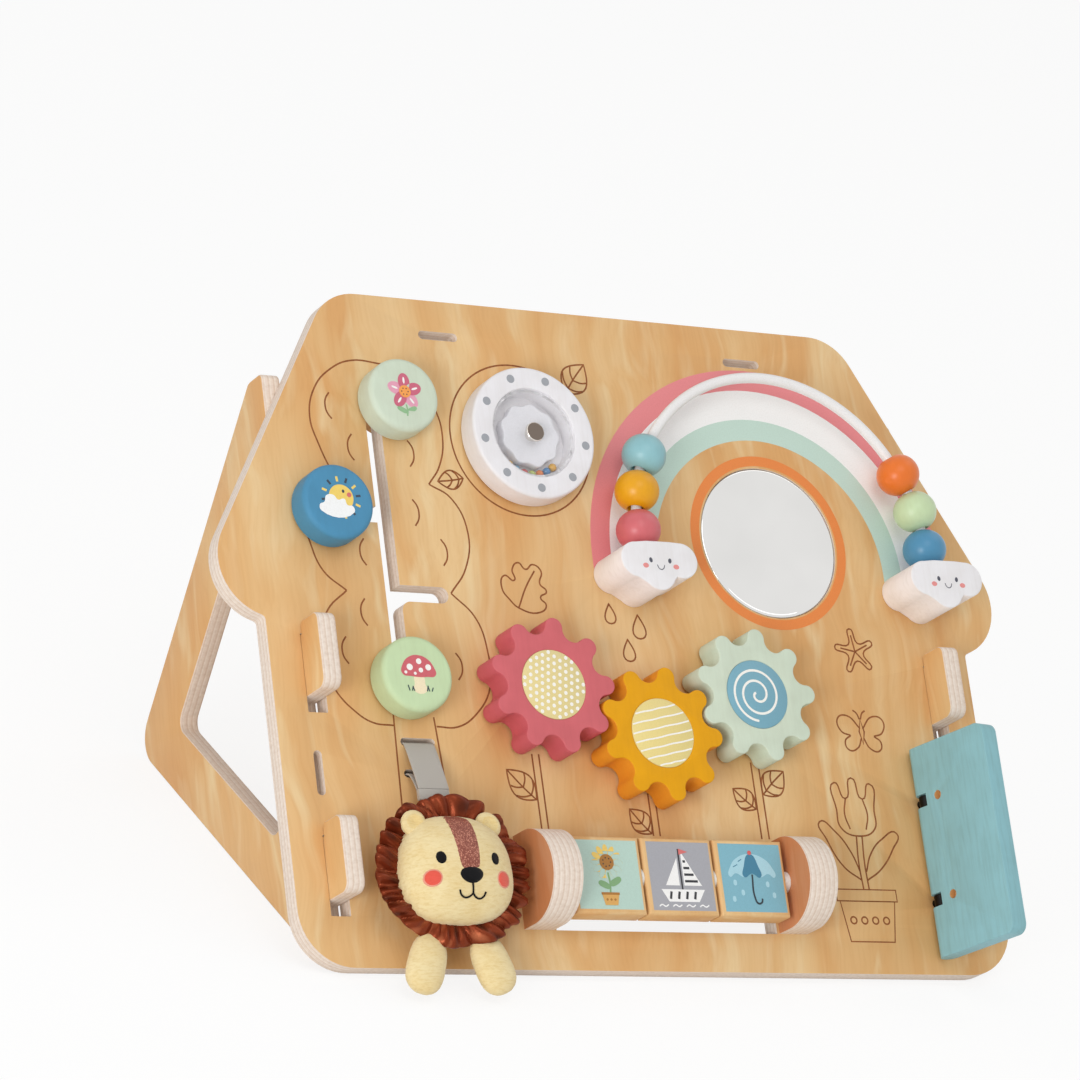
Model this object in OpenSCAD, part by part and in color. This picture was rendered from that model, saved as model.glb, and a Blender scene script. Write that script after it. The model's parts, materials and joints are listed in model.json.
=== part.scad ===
// Busy board for babies: a house-shaped plywood board that leans on two hooked-in side legs.
// Board frame: x to the right, y up along the face, z out of the face, 0 on the front face.
// Row frame: Z up from the floor, -Y towards the child, origin under the middle of the part.

/* [Board] */
// Height of the board along its face
board_h = 311; // [295:1:325]
// Width of the board below the eaves
board_w = 370; // [362:1:384]
// Thickness of the plywood
board_t = 9; // [8:0.5:12]
// Lean of the board back from the vertical, in degrees
lean = 43.5; // [40:0.5:46]
// Half width of the top edge, out to its sharp corners
roof_half = 136.5; // [130:0.5:142]
// Slope of the roof edges from the side walls, in degrees
roof_slope = 29; // [27:0.5:31]
// Height of the underside of the eaves
eave_y = 155; // [150:1:160]
// Radius of the eaves
eave_r = 26; // [20:1:30]
// Radius of the other corners
corner_r = 25; // [10:1:30]
// Radius of the hollow corner under each eave
notch_r = 2.5; // [1:0.5:4]

/* [Side legs] */
// Thickness of each leg
leg_t = 9; // [8:0.5:10]
// Distance of each leg's middle in from the board's side wall
leg_in = 20.75; // [19:0.25:21.5]
// Height of the leg's top along the board
leg_top_y = 273; // [262:1:276]
// Height where the rear edge would meet the board
leg_peak_y = 284.6; // [282:0.2:290]
// Angle between the rear edge and the board, in degrees
leg_back_angle = 48.4; // [46:0.2:50]
// Width of the bar behind the board
front_bar_w = 27; // [22:1:32]
// Width of the sloping rear bar
rear_bar_w = 29; // [24:1:32]
// Width of the bar on the floor
floor_bar_w = 27; // [22:1:32]
// Height of the lower hook above the board's bottom edge
hook_y = 29.3; // [27:0.1:34]
// Distance between the two hooks
hook_pitch = 90.5; // [80:0.5:96]
// Height of a hook's neck
hook_h = 28.5; // [22:0.5:32]
// How far a hook's lip rises above its slot
hook_rise = 5.6; // [4:0.1:6]
// How far a hook stands out of the board
hook_out = 16.2; // [13:0.1:18]
// How far a leg drops to unhook
hook_drop = 6; // [6:0.1:6.8]

/* [Strap slots] */
// Length of a strap slot
strap_slot_l = 20; // [16:0.5:24]
// Width of a strap slot
strap_slot_w = 4; // [3:0.5:4.5]
// Distance of the top strap slots from the middle
strap_x = 81.5; // [70:0.5:90]
// Distance of the top strap slots below the top edge
strap_down = 17; // [15:0.5:17.5]
// Height of the side strap slots
side_strap_y = 85.8; // [78:0.2:96]
// Distance of the side strap slots in from the board's side wall
side_strap_in = 18; // [15:0.5:25]

/* [Knob maze] */
// Width of the maze slot
track_w = 7.5; // [7:0.1:8.5]
// Distance of the upright slot to the left of the middle
track_x = 120.3; // [118:0.1:122]
// Lower end of the upright slot
track_low_y = 128.3; // [126:0.1:132]
// Upper end of the upright slot
track_top_y = 258.7; // [254:0.1:262]
// Length of the short branch at the top
top_branch_l = 10.1; // [6:0.1:14]
// Height of the branch to the left
left_branch_y = 205.9; // [203:0.1:208]
// Gap between the leg and the keeper at the end of the branch to the left
branch_gap = 1.15; // [0.8:0.05:4]
// Height of the branch to the right
right_branch_y = 169.8; // [167:0.1:170.5]
// Length of the branch to the right
right_branch_l = 24; // [16:0.5:26]
// Diameter of a knob
knob_d = 34.8; // [30:0.2:35]
// Height of a knob
knob_h = 13; // [10:0.5:18]
// Edge radius of a knob
knob_edge_r = 2.5; // [1:0.5:4]
// Diameter of a knob's neck in the slot
knob_neck_d = 6.8; // [5.6:0.1:6.9]
// Diameter of the keeper behind the board
keeper_d = 18; // [12:0.5:18]
// Thickness of the keeper
keeper_t = 5; // [4:0.5:7]

/* [Rattle wheel] */
// Distance of the wheel to the left of the middle
wheel_x = 44.8; // [42:0.2:48]
// Height of the wheel's axle
wheel_y = 245.8; // [242:0.2:248]
// Diameter of the wheel
wheel_d = 63; // [56:0.5:64]
// Thickness of the wheel
wheel_h = 12; // [10:0.5:16]
// Diameter of the clear window
window_d = 42.4; // [38:0.2:48]
// Thickness of the clear window
window_t = 1.6; // [1:0.1:2]
// Diameter of the axle
wheel_axle_d = 6; // [4:0.5:7]
// Diameter of a rattle bead
rattle_d = 3.8; // [3:0.1:4.2]
// Number of rattle beads
rattle_count = 7; // [3:1:9]

/* [Gears] */
// Number of teeth on each gear
gear_teeth = 9; // [8:1:10]
// Distance between the axles of two meshed gears
gear_pitch = 57.2; // [56.8:0.1:58]
// Distance of the outer gears from the middle
gear_span = 53.5; // [52.5:0.1:55]
// Height of the middle gear's axle
gear_y = 105.2; // [104:0.2:106]
// Outer radius of a gear
gear_tip_r = 31.5; // [30.5:0.1:31.8]
// Radius at the bottom of the gaps between teeth
gear_root_r = 23.6; // [22.6:0.1:24.2]
// Radius of each round tooth end
tooth_r = 4.4; // [4:0.1:4.5]
// Thickness of a gear
gear_h = 14.4; // [12:0.2:16]
// Diameter of the printed disc in each gear
gear_disc_d = 32.2; // [28:0.2:36]
// Diameter of a gear axle
gear_axle_d = 8; // [6:0.5:9]
// Angle of the middle gear, in degrees
gear_turn = -2.2; // [-3:0.1:0]

/* [Turning tiles] */
// Width of a tile along its rod
tile_w = 36.3; // [34:0.1:36.5]
// Height of a tile
tile_h = 35; // [30:0.5:35.5]
// Thickness of a tile
tile_t = 12.3; // [11:0.1:14]
// Gap between two tiles
tile_gap = 1.3; // [0.8:0.1:1.4]
// Distance of the middle tile's centre to the left of the middle
tile_x = 1.2; // [0:0.2:3]
// Height of the tile rod
tile_y = 39; // [37:0.2:41]
// Height of the tile rod above the face
tile_z = 9.6; // [9:0.1:11]
// Diameter of the tile rod
tile_rod_d = 6; // [4:0.5:7]
// Thickness of a cheek
cheek_t = 15; // [12:0.5:18]
// Height of a cheek
cheek_h = 42; // [40:1:44]
// How far a cheek stands out of the board
cheek_out = 30; // [27:0.5:34]

/* [Bead arch and mirror] */
// Distance of the arch's centre to the right of the middle
arch_x = 82.5; // [81.5:0.1:83.5]
// Height of the arch's centre
arch_y = 203; // [201:0.2:204]
// Radius of the arch
arch_r = 79; // [78:0.2:80]
// Distance of the rod's centre from the face
arch_z = 12.5; // [11.5:0.1:14]
// Diameter of the rod
arch_rod_d = 5; // [4:0.1:5.4]
// Diameter of a bead
bead_d = 20.5; // [18:0.1:21]
// Length of a bead along the rod, over its rounded ends
bead_l = 18.9; // [16:0.1:19.2]
// Bore of a bead
bead_bore_d = 6.6; // [6:0.1:7]
// Width of a cloud
cloud_w = 40; // [37:0.5:41]
// How far each cloud's middle lies to the right of its rod end
cloud_shift = 1.1; // [0:0.1:1.5]
// Thickness of a cloud
cloud_t = 25; // [20:0.5:27]
// Height of the clouds' centres
cloud_y = 181; // [179:0.2:182]
// Diameter of the mirror
mirror_d = 72.8; // [66:0.2:74]
// Height of the mirror's centre
mirror_y = 205; // [203:0.2:206]
// Thickness of the mirror
mirror_t = 1.8; // [1.2:0.1:3]

/* [Door] */
// Distance of the hinge in from the board's right wall
door_in = 39; // [38:0.2:40]
// Height of the door's bottom edge
door_y = 7; // [5:0.5:9]
// Height of the door
door_h = 99; // [92:0.5:103]
// Width of the door from the hinge to its free edge
door_w = 45; // [40:0.5:46]
// Thickness of the door
door_t = 9; // [8:0.5:9.5]
// Radius of the door's free corners
door_r = 5; // [3:0.5:8]
// How far the door stands open from closed, in degrees
door_open = 100; // [95:1:105]
// Height of the lower hinge above the door's bottom edge
hinge_up = 26.5; // [20:0.5:30]
// Distance between the two hinges
hinge_pitch = 47; // [40:0.5:50]
// Diameter of a hinge pin
hinge_pin_d = 3; // [2:0.2:3.6]

/* [Lion] */
// Distance of the lion to the left of the middle
lion_x = 117; // [116:0.2:118]
// Height of the middle of the lion's head
lion_y = 38.6; // [38:0.2:40]
// Width of the lion's head
head_w = 56.6; // [52:0.2:58]
// Height of the lion's head
head_h = 48.4; // [44:0.2:50]
// Thickness of the lion's head
head_t = 33; // [28:0.5:36]
// Width of the mane
mane_w = 75; // [70:0.5:77]
// Height of the mane
mane_h = 67.2; // [62:0.2:68]
// Thickness of the mane
mane_t = 10; // [8:0.5:14]
// Length of a foot
foot_l = 29; // [26:0.5:30]
// Width of a foot
foot_w = 19; // [16:0.5:20]
// Thickness of a foot
foot_t = 12; // [10:0.5:13]
// Width of the ribbon
ribbon_w = 15; // [12:0.5:15.5]
// Thickness of the ribbon
ribbon_t = 0.9; // [0.6:0.1:1.2]
// Height of the upper ribbon slot
ribbon_slot_y = 101.3; // [100:0.1:104]
// Distance between the two ribbon slots
ribbon_slot_pitch = 14.4; // [13:0.1:15]
// Width of a ribbon slot's opening
ribbon_slot_w = 3.6; // [3:0.1:4]

/* [Hidden] */
$fn = 64;

// Clearances
seat_gap = 0.3;   // between pieces that hook, slide or lie on each other
pin_gap = 0.05;   // radial, between a pin or screw and the hole that holds it
run_gap = 0.08;   // radial, between a shaft and what turns on it
washer_gap = 0.05;
slot_play = 0.25; // each side of a leg in its slot
cut = 0.5;        // how far a cutter runs past a face
proud = 0.005;    // how far an arc crosses the straight side or arc that it runs into

// Colours
wood = [0.86, 0.68, 0.43];
bare_ply = [0.86, 0.78, 0.70];
steel = [0.72, 0.72, 0.74];
white = [0.94, 0.94, 0.95];
mint = [0.77, 0.86, 0.78];
sea_blue = [0.24, 0.53, 0.70];
leaf_green = [0.74, 0.86, 0.70];
rose = [0.82, 0.42, 0.46];
amber = [0.90, 0.65, 0.13];
sky = [0.55, 0.74, 0.77];
cream = [0.95, 0.89, 0.70];
mane_brown = [0.48, 0.20, 0.12];

// The floor passes through the rear bottom edge of the board
function floor_y(z) = -(z + board_t) * tan(lean);
function unit(v) = v / norm(v);

// Reach along the floor, for an origin under the middle
door_axis_z = door_t / 2 + seat_gap + 0.2;
door_lie = 180 - door_open;
door_corner_y = (door_y + door_r) * sin(lean)
    - (door_axis_z + (door_w - door_r) * sin(door_lie) + door_t / 2 * cos(door_lie)) * cos(lean);
front_reach = door_corner_y
    - door_r * sqrt(pow(sin(lean), 2) + pow(sin(door_lie) * cos(lean), 2));
rear_reach = board_h * sin(lean) + board_t * cos(lean);

module on_board() {
    translate([0, -(front_reach + rear_reach) / 2, board_t * sin(lean)])
        rotate([90 - lean, 0, 0]) children();
}

// A profile drawn in board y and z, extruded along x from x0
module along_x(x0, length) {
    translate([x0, 0, 0]) rotate([90, 0, 90]) linear_extrude(length) children();
}

// Convex outline, counter-clockwise, with a true arc of radius r[i] at each corner p[i]
module rounded_polygon(p, r) {
    n = len(p);
    corners = [for (i = [0:n - 1])
        let (u = unit(p[(i + n - 1) % n] - p[i]), v = unit(p[(i + 1) % n] - p[i]))
        [p[i], u, v, acos(u * v) / 2, r[i]]];
    polygon([for (k = corners) each (k[4] == 0 ? [k[0]]
        : [k[0] + k[1] * k[4] / tan(k[3]), k[0] + k[2] * k[4] / tan(k[3])])]);
    for (k = corners)
        if (k[4] > 0) translate(k[0] + unit(k[1] + k[2]) * k[4] / sin(k[3])) circle(k[4] + proud);
}

// Slot outline with round ends between two centres
module groove(a, b, w) {
    translate(a) rotate(atan2(b[1] - a[1], b[0] - a[0])) {
        translate([0, -w / 2]) square([norm(b - a), w]);
        circle(w / 2);
        translate([norm(b - a), 0]) circle(w / 2);
    }
}

module bore(x, y, r) {
    translate([x, y, -board_t - cut]) cylinder(r = r, h = board_t + 2 * cut);
}

module mirrored() {
    children();
    mirror([1, 0, 0]) children();
}

// ---- Board ----

eave_x = roof_half + (board_h - eave_y) * tan(roof_slope);
eave_centre = [eave_x - eave_r / tan(45 - roof_slope / 2), eave_y + eave_r];
notch_centre = [board_w / 2 + notch_r,
    eave_centre[1] - sqrt(pow(eave_r + notch_r, 2)
        - pow(board_w / 2 + notch_r - eave_centre[0], 2))];
notch_touch = eave_centre + (notch_centre - eave_centre) * eave_r / (eave_r + notch_r);

module board_outline() {
    rounded_polygon([[-eave_x, eave_y], [eave_x, eave_y],
        [roof_half, board_h], [-roof_half, board_h]], [eave_r, eave_r, corner_r, corner_r]);
    rounded_polygon([[-board_w / 2, 0], [board_w / 2, 0],
        [board_w / 2, eave_centre[1]], [-board_w / 2, eave_centre[1]]],
        [corner_r, corner_r, 0, 0]);
    mirrored() difference() {
        polygon([[board_w / 2 - 1, notch_centre[1]], notch_centre,
            notch_touch, [board_w / 2 - 1, notch_touch[1] + notch_r]]);
        translate(notch_centre) circle(notch_r);
    }
}

leg_x = board_w / 2 - leg_in;
side_strap_x = board_w / 2 - side_strap_in;
door_x = board_w / 2 - door_in;
knob_x = -track_x;
left_branch_l = leg_x - leg_t / 2 - branch_gap - keeper_d / 2 - track_x;
module maze() {
    side = track_w / 2;
    soft = track_w * 0.6;
    groove([knob_x, track_low_y], [knob_x, track_top_y], track_w);
    groove([knob_x, track_top_y], [knob_x + top_branch_l, track_top_y], track_w);
    groove([knob_x - left_branch_l, left_branch_y], [knob_x, left_branch_y], track_w);
    groove([knob_x, right_branch_y], [knob_x + right_branch_l, right_branch_y], track_w);
    translate([knob_x + side, right_branch_y - side - soft]) difference() {
        square(soft);
        translate([soft, 0]) circle(soft);
    }
}

slot_w = leg_t + 2 * slot_play;
slot_low = hook_y - hook_drop - 0.8;
slot_h = hook_y + hook_h + seat_gap - slot_low;
hook_ys = [0, hook_pitch];
slot_r = 0.6;

module leg_slots() {
    for (dy = hook_ys)
        rounded_polygon([[leg_x - slot_w / 2, slot_low + dy], [leg_x + slot_w / 2, slot_low + dy],
            [leg_x + slot_w / 2, slot_low + slot_h + dy],
            [leg_x - slot_w / 2, slot_low + slot_h + dy]], [slot_r, slot_r, slot_r, slot_r]);
}

module strap_slots() {
    run = (strap_slot_l - strap_slot_w) / 2;
    top_y = board_h - strap_down;
    groove([strap_x - run, top_y], [strap_x + run, top_y], strap_slot_w);
    groove([side_strap_x, side_strap_y - run], [side_strap_x, side_strap_y + run], strap_slot_w);
}

ribbon_play = 1;
module ribbon_slots() {
    run = (ribbon_w + 2 * ribbon_play - ribbon_slot_w) / 2;
    for (y = [ribbon_slot_y, ribbon_slot_y - ribbon_slot_pitch])
        groove([-lion_x - run, y], [-lion_x + run, y], ribbon_slot_w);
}

tiles_l = 3 * tile_w + 2 * tile_gap;
tile_swing_r = norm([tile_h, tile_t]) / 2;
window_l = tiles_l + 3.5;
window_h = 2 * tile_swing_r + 5;
module tile_window() {
    translate([-tile_x - window_l / 2, tile_y - window_h / 2]) square([window_l, window_h]);
}

mirror_recess = mirror_t + 0.2;
mirror_play = 0.4;

screw_r = 1.7;
screw_head_r = 3.4;
screw_head_h = 2.2;
screw_tip_gap = 1;
cheek_screw_l = 11;
cloud_screw_l = 15;
cheek_screw_dy = cheek_h / 2 - 8;
cloud_screw_dx = cloud_w / 4 + 1.5;

module board() {
    color(wood) on_board() difference() {
        translate([0, 0, -board_t]) linear_extrude(board_t) difference() {
            board_outline();
            maze();
            ribbon_slots();
            tile_window();
            mirrored() {
                leg_slots();
                strap_slots();
            }
        }
        translate([arch_x, mirror_y, -mirror_recess])
            cylinder(d = mirror_d + 2 * mirror_play, h = mirror_recess + cut, $fn = 128);
        bore(-wheel_x, wheel_y, wheel_axle_d / 2 + pin_gap);
        for (p = gear_places) bore(p[0], p[1], gear_axle_d / 2 + pin_gap);
        for (p = cheek_screw_places) bore(p[0], p[1], screw_r + pin_gap);
        for (p = cloud_screw_places) bore(p[0], p[1], screw_r + pin_gap);
        for (y = hinge_ys) translate([door_x, y, -hinge_post_depth])
            cylinder(r = hinge_post_r + pin_gap, h = hinge_post_depth + cut);
    }
}

// A pan-head wood screw driven from behind the board, to a depth past the front face
module back_screw(x, y, depth, seat = 0) {
    translate([x, y, -board_t - seat]) {
        translate([0, 0, -screw_head_h]) cylinder(r = screw_head_r, h = screw_head_h);
        cylinder(r = screw_r, h = board_t + seat + depth);
    }
}

// ---- Side legs ----

leg_front_z = -board_t - seat_gap;
leg_toe_r = 5;
leg_heel_r = 14;
leg_top_r = 3;
leg_gap_r = 6;
back_tan = tan(leg_back_angle);

// Corner between a line down the leg's back and a line above the floor
function leg_corner(peak, lift) =
    let (y = ((seat_gap + peak * back_tan) * tan(lean) + lift / cos(lean))
        / (1 + back_tan * tan(lean)))
    [y, leg_front_z - (peak - y) * back_tan];

inner_peak = leg_peak_y - rear_bar_w / sin(leg_back_angle);

module leg_profile() {
    difference() {
        rounded_polygon([[floor_y(leg_front_z), leg_front_z],
            leg_corner(leg_peak_y, 0),
            [leg_top_y, leg_front_z - (leg_peak_y - leg_top_y) * back_tan],
            [leg_top_y, leg_front_z]], [leg_toe_r, leg_heel_r, leg_toe_r, leg_top_r]);
        rounded_polygon([[floor_y(leg_front_z - front_bar_w) + floor_bar_w / cos(lean),
                leg_front_z - front_bar_w],
            leg_corner(inner_peak, floor_bar_w),
            [inner_peak - front_bar_w / back_tan, leg_front_z - front_bar_w]],
            [leg_gap_r, leg_gap_r, leg_gap_r]);
    }
    for (dy = hook_ys) translate([hook_y + dy, 0]) {
        translate([0, leg_front_z - 1]) square([hook_h, seat_gap + 3 - leg_front_z]);
        rounded_polygon([[0, seat_gap], [hook_h + hook_rise, seat_gap],
            [hook_h + hook_rise, hook_out], [0, hook_out]], [0, 3, 4, 5]);
    }
}

module leg(side) {
    color(wood) on_board() along_x(side * leg_x - leg_t / 2, leg_t) leg_profile();
}

// ---- Sliding knobs ----

knob_lift = 0.5;

module knob(p, tint) {
    edge = knob_edge_r;
    r = knob_d / 2;
    neck_end = -board_t - seat_gap;
    color(tint) on_board() translate([p[0], p[1], 0]) difference() {
        union() {
            translate([0, 0, knob_lift]) rotate_extrude() {
                square([r, knob_h - edge]);
                square([r - edge, knob_h]);
                translate([r - edge, knob_h - edge]) intersection() {
                    circle(edge);
                    square(edge);
                }
            }
            translate([0, 0, neck_end]) cylinder(d = knob_neck_d, h = knob_lift + 1 - neck_end);
        }
        translate([0, 0, neck_end - cut])
            cylinder(r = screw_r + pin_gap, h = board_t + seat_gap + cut + knob_h / 2);
    }
}

module keeper(p) {
    color(wood) on_board() translate([p[0], p[1], -board_t - seat_gap - keeper_t]) difference() {
        cylinder(d = keeper_d, h = keeper_t);
        translate([0, 0, -cut]) cylinder(r = screw_r + pin_gap, h = keeper_t + 2 * cut);
        translate([0, 0, -cut]) cylinder(r = screw_head_r + 0.3, h = screw_head_h + cut);
    }
}

module knob_screw(p) {
    inset = keeper_t + seat_gap - screw_head_h;
    color(steel) on_board() back_screw(p[0], p[1], knob_h / 2 - 0.5, inset);
}

top_knob_place = [knob_x + top_branch_l, track_top_y];
left_knob_place = [knob_x - left_branch_l, left_branch_y];
low_knob_place = [knob_x, track_low_y];

// ---- Rattle wheel ----

wheel_lift = 0.6;
wheel_top = wheel_lift + wheel_h;
wheel_floor = wheel_lift + 3;
window_drop = 0.3;
window_z = wheel_top - window_drop - window_t;
channel_r = window_d / 2 - 1.4;
hub_lobe_r = 3.6;
hub_r = channel_r - rattle_d - 1.2;
hub_lobes = 9;

module at_wheel() {
    on_board() translate([-wheel_x, wheel_y, 0]) children();
}

module wheel_ring() {
    soft = 1.5;
    r = wheel_d / 2;
    color(white) at_wheel() rotate_extrude($fn = 128) difference() {
        union() {
            translate([0, wheel_lift]) square([r, wheel_h - soft]);
            translate([0, wheel_lift]) square([r - soft, wheel_h]);
            translate([r - soft, wheel_top - soft]) circle(soft, $fn = 32);
        }
        square([wheel_axle_d / 2 + run_gap, wheel_h * 3], center = true);
        translate([-1, -1]) square([wheel_axle_d / 2 + run_gap + 1, wheel_top + 2]);
        translate([0, wheel_floor]) square([channel_r, wheel_h]);
        translate([0, window_z]) square([window_d / 2, wheel_h]);
    }
}

module wheel_hub() {
    color([0.85, 0.85, 0.87]) at_wheel() translate([0, 0, wheel_floor]) difference() {
        linear_extrude(window_z - wheel_floor - 1.5) {
            circle(hub_r - hub_lobe_r * 0.45);
            for (i = [0:hub_lobes - 1])
                rotate(i * 360 / hub_lobes) translate([hub_r - hub_lobe_r, 0]) circle(hub_lobe_r);
        }
        translate([0, 0, -cut]) cylinder(d = wheel_axle_d + 2 * run_gap, h = wheel_h);
    }
}

module wheel_window() {
    color([0.85, 0.92, 0.96, 0.4]) at_wheel() translate([0, 0, window_z]) difference() {
        cylinder(d = window_d - 2 * pin_gap, h = window_t, $fn = 128);
        translate([0, 0, -cut]) cylinder(d = wheel_axle_d + 2 * run_gap, h = window_t + 2 * cut);
    }
}

rattle_step = 2 * asin((rattle_d + 0.3) / 2 / (channel_r - rattle_d / 2 - 0.1));
module rattle_beads() {
    color(rose) at_wheel()
        for (i = [0:rattle_count - 1])
            rotate(-90 + (i - (rattle_count - 1) / 2) * rattle_step)
                translate([channel_r - rattle_d / 2 - 0.1, 0, wheel_floor + rattle_d / 2 + 0.1])
                    sphere(d = rattle_d, $fn = 24);
}

wheel_nut_t = 3;
module wheel_axle() {
    color(steel) at_wheel() {
        translate([0, 0, -board_t - wheel_nut_t])
            cylinder(d = wheel_axle_d, h = board_t + wheel_nut_t + wheel_top - window_drop + 0.5);
        translate([0, 0, wheel_top - window_drop + 0.1]) rotate_extrude() {
            square([wheel_axle_d / 2 + 1.6, 1]);
            intersection() {
                translate([0, -4.4]) circle(6.6);
                square([wheel_axle_d / 2 + 1.6, 3]);
            }
        }
    }
}

module wheel_washer() {
    color(steel) at_wheel() translate([0, 0, washer_gap]) difference() {
        cylinder(d = wheel_axle_d + 10, h = wheel_lift - 2 * washer_gap);
        translate([0, 0, -cut]) cylinder(d = wheel_axle_d + 2 * pin_gap, h = wheel_lift + 2 * cut);
    }
}

module back_nut(p, hole_d, t) {
    translate([p[0], p[1], -board_t - t]) difference() {
        cylinder(d = hole_d + 8, h = t);
        translate([0, 0, -cut]) cylinder(d = hole_d + 2 * pin_gap, h = t + 2 * cut);
    }
}

module wheel_nut() {
    color(steel) on_board() back_nut([-wheel_x, wheel_y], wheel_axle_d, wheel_nut_t);
}

// ---- Gears ----

gear_lift = 1;
gear_top = gear_lift + gear_h;
gear_rise = sqrt(pow(gear_pitch, 2) - pow(gear_span, 2));
gear_places = [[-gear_span, gear_y + gear_rise], [0, gear_y], [gear_span, gear_y + gear_rise]];
tooth_step = 360 / gear_teeth;
gear_line = atan2(gear_rise, gear_span);
gear_backlash = 1.2;

// Teeth at angle a mesh with teeth at angle b when a gap of one faces a tooth of the other
left_gear_turn = 180 - 2 * gear_line - tooth_step / 2 - gear_turn + gear_backlash;
right_gear_turn = 180 + 2 * gear_line - tooth_step / 2 - gear_turn - gear_backlash;

// Radius of the hollow between two teeth, tangent to both round tooth ends
tooth_centre_r = gear_tip_r - tooth_r;
half_step = tooth_step / 2;
hollow_r = (pow(tooth_r, 2) - pow(tooth_centre_r, 2) - pow(gear_root_r, 2)
    + 2 * tooth_centre_r * gear_root_r * cos(half_step))
    / (2 * (gear_root_r - tooth_centre_r * cos(half_step) - tooth_r));
hollow_centre_r = gear_root_r + hollow_r;

function polar(r, a) = [r * cos(a), r * sin(a)];
function flank(a, s) =
    let (t = polar(tooth_centre_r, a), h = polar(hollow_centre_r, a + s * half_step))
    t + (h - t) * tooth_r / (tooth_r + hollow_r);

// The same point, moved a little into its own tooth along the line across the hollow
function tooth_foot(a, s) =
    let (p = flank(a, s)) p + unit(p - flank(a + s * tooth_step, -s)) * 0.6;

module gear_outline() {
    difference() {
        union() {
            polygon([for (i = [0:gear_teeth - 1]) each
                [tooth_foot(i * tooth_step, -1), tooth_foot(i * tooth_step, 1)]]);
            for (i = [0:gear_teeth - 1])
                translate(polar(tooth_centre_r, i * tooth_step)) circle(tooth_r);
        }
        for (i = [0:gear_teeth - 1])
            translate(polar(hollow_centre_r, (i + 0.5) * tooth_step)) circle(hollow_r + 2 * proud);
    }
}

disc_t = 0.9;
axle_head_r = gear_axle_d / 2 + 3;
axle_head_t = 2.6;
axle_head_z = gear_top - disc_t - axle_head_t - 0.4;

module gear(i, turn, tint) {
    color(tint) on_board() translate([gear_places[i][0], gear_places[i][1], 0])
        rotate(turn) difference() {
            translate([0, 0, gear_lift]) linear_extrude(gear_h) gear_outline();
            cylinder(d = gear_axle_d + 2 * run_gap, h = gear_top);
            translate([0, 0, axle_head_z - 0.2])
                cylinder(r = axle_head_r + 0.3, h = gear_h);
            translate([0, 0, gear_top - disc_t]) cylinder(d = gear_disc_d, h = disc_t + cut);
        }
}

module gear_disc(i, turn, tint) {
    color(tint) on_board() translate([gear_places[i][0], gear_places[i][1], gear_top - disc_t])
        rotate(turn) cylinder(d = gear_disc_d - 2 * pin_gap, h = disc_t);
}

gear_nut_t = 4;
module gear_axles() {
    color(steel) on_board() for (p = gear_places) translate([p[0], p[1], 0]) {
        translate([0, 0, -board_t - gear_nut_t])
            cylinder(d = gear_axle_d, h = board_t + gear_nut_t + axle_head_z + 1);
        translate([0, 0, axle_head_z]) cylinder(r = axle_head_r, h = axle_head_t);
    }
}

module gear_washers() {
    color(white) on_board() for (p = gear_places) translate([p[0], p[1], washer_gap]) difference() {
        cylinder(d = gear_axle_d + 10, h = gear_lift - 2 * washer_gap);
        translate([0, 0, -cut]) cylinder(d = gear_axle_d + 2 * pin_gap, h = gear_lift + 2 * cut);
    }
}

module gear_nuts() {
    color(steel) on_board() for (p = gear_places) back_nut(p, gear_axle_d, gear_nut_t);
}

// ---- Turning tiles ----

tile_soft = 1.8;
tile_pitch = tile_w + tile_gap;
cheek_inner = tiles_l / 2 + 3;
cheek_hold = 10;
cheek_screw_places = [for (s = [-1, 1], dy = [-1, 1])
    [-tile_x + s * (cheek_inner + cheek_t / 2), tile_y + dy * cheek_screw_dy]];

module soft_box(a, b, r) {
    rounded_polygon([[-a / 2, -b / 2], [a / 2, -b / 2], [a / 2, b / 2], [-a / 2, b / 2]],
        [r, r, r, r]);
}

module tile(i, tint) {
    color(tint) on_board() translate([-tile_x + i * tile_pitch, tile_y, tile_z]) difference() {
        intersection() {
            along_x(-tile_w / 2, tile_w) soft_box(tile_h, tile_t, tile_soft);
            rotate([90, 0, 0]) translate([0, 0, -tile_h / 2])
                linear_extrude(tile_h) soft_box(tile_w, tile_t, tile_soft);
        }
        rotate([0, 90, 0]) translate([0, 0, -tile_w])
            cylinder(d = tile_rod_d + 2 * run_gap, h = 2 * tile_w);
    }
}

module tile_rod() {
    reach = cheek_inner + cheek_hold - 0.2;
    color(steel) on_board() translate([-tile_x - reach, tile_y, tile_z])
        rotate([0, 90, 0]) cylinder(d = tile_rod_d, h = 2 * reach);
}

module tile_washer(x0, x1) {
    translate([-tile_x + x0 + washer_gap, tile_y, tile_z]) rotate([0, 90, 0]) difference() {
        cylinder(d = tile_rod_d + 4, h = x1 - x0 - 2 * washer_gap);
        translate([0, 0, -cut]) cylinder(d = tile_rod_d + 2 * pin_gap, h = x1 - x0 + 2 * cut);
    }
}

module tile_washers() {
    half = tile_w / 2;
    color(white) on_board() {
        tile_washer(-cheek_inner, -tile_pitch - half);
        tile_washer(-half - tile_gap, -half);
        tile_washer(half, half + tile_gap);
        tile_washer(tile_pitch + half, cheek_inner);
    }
}

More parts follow.
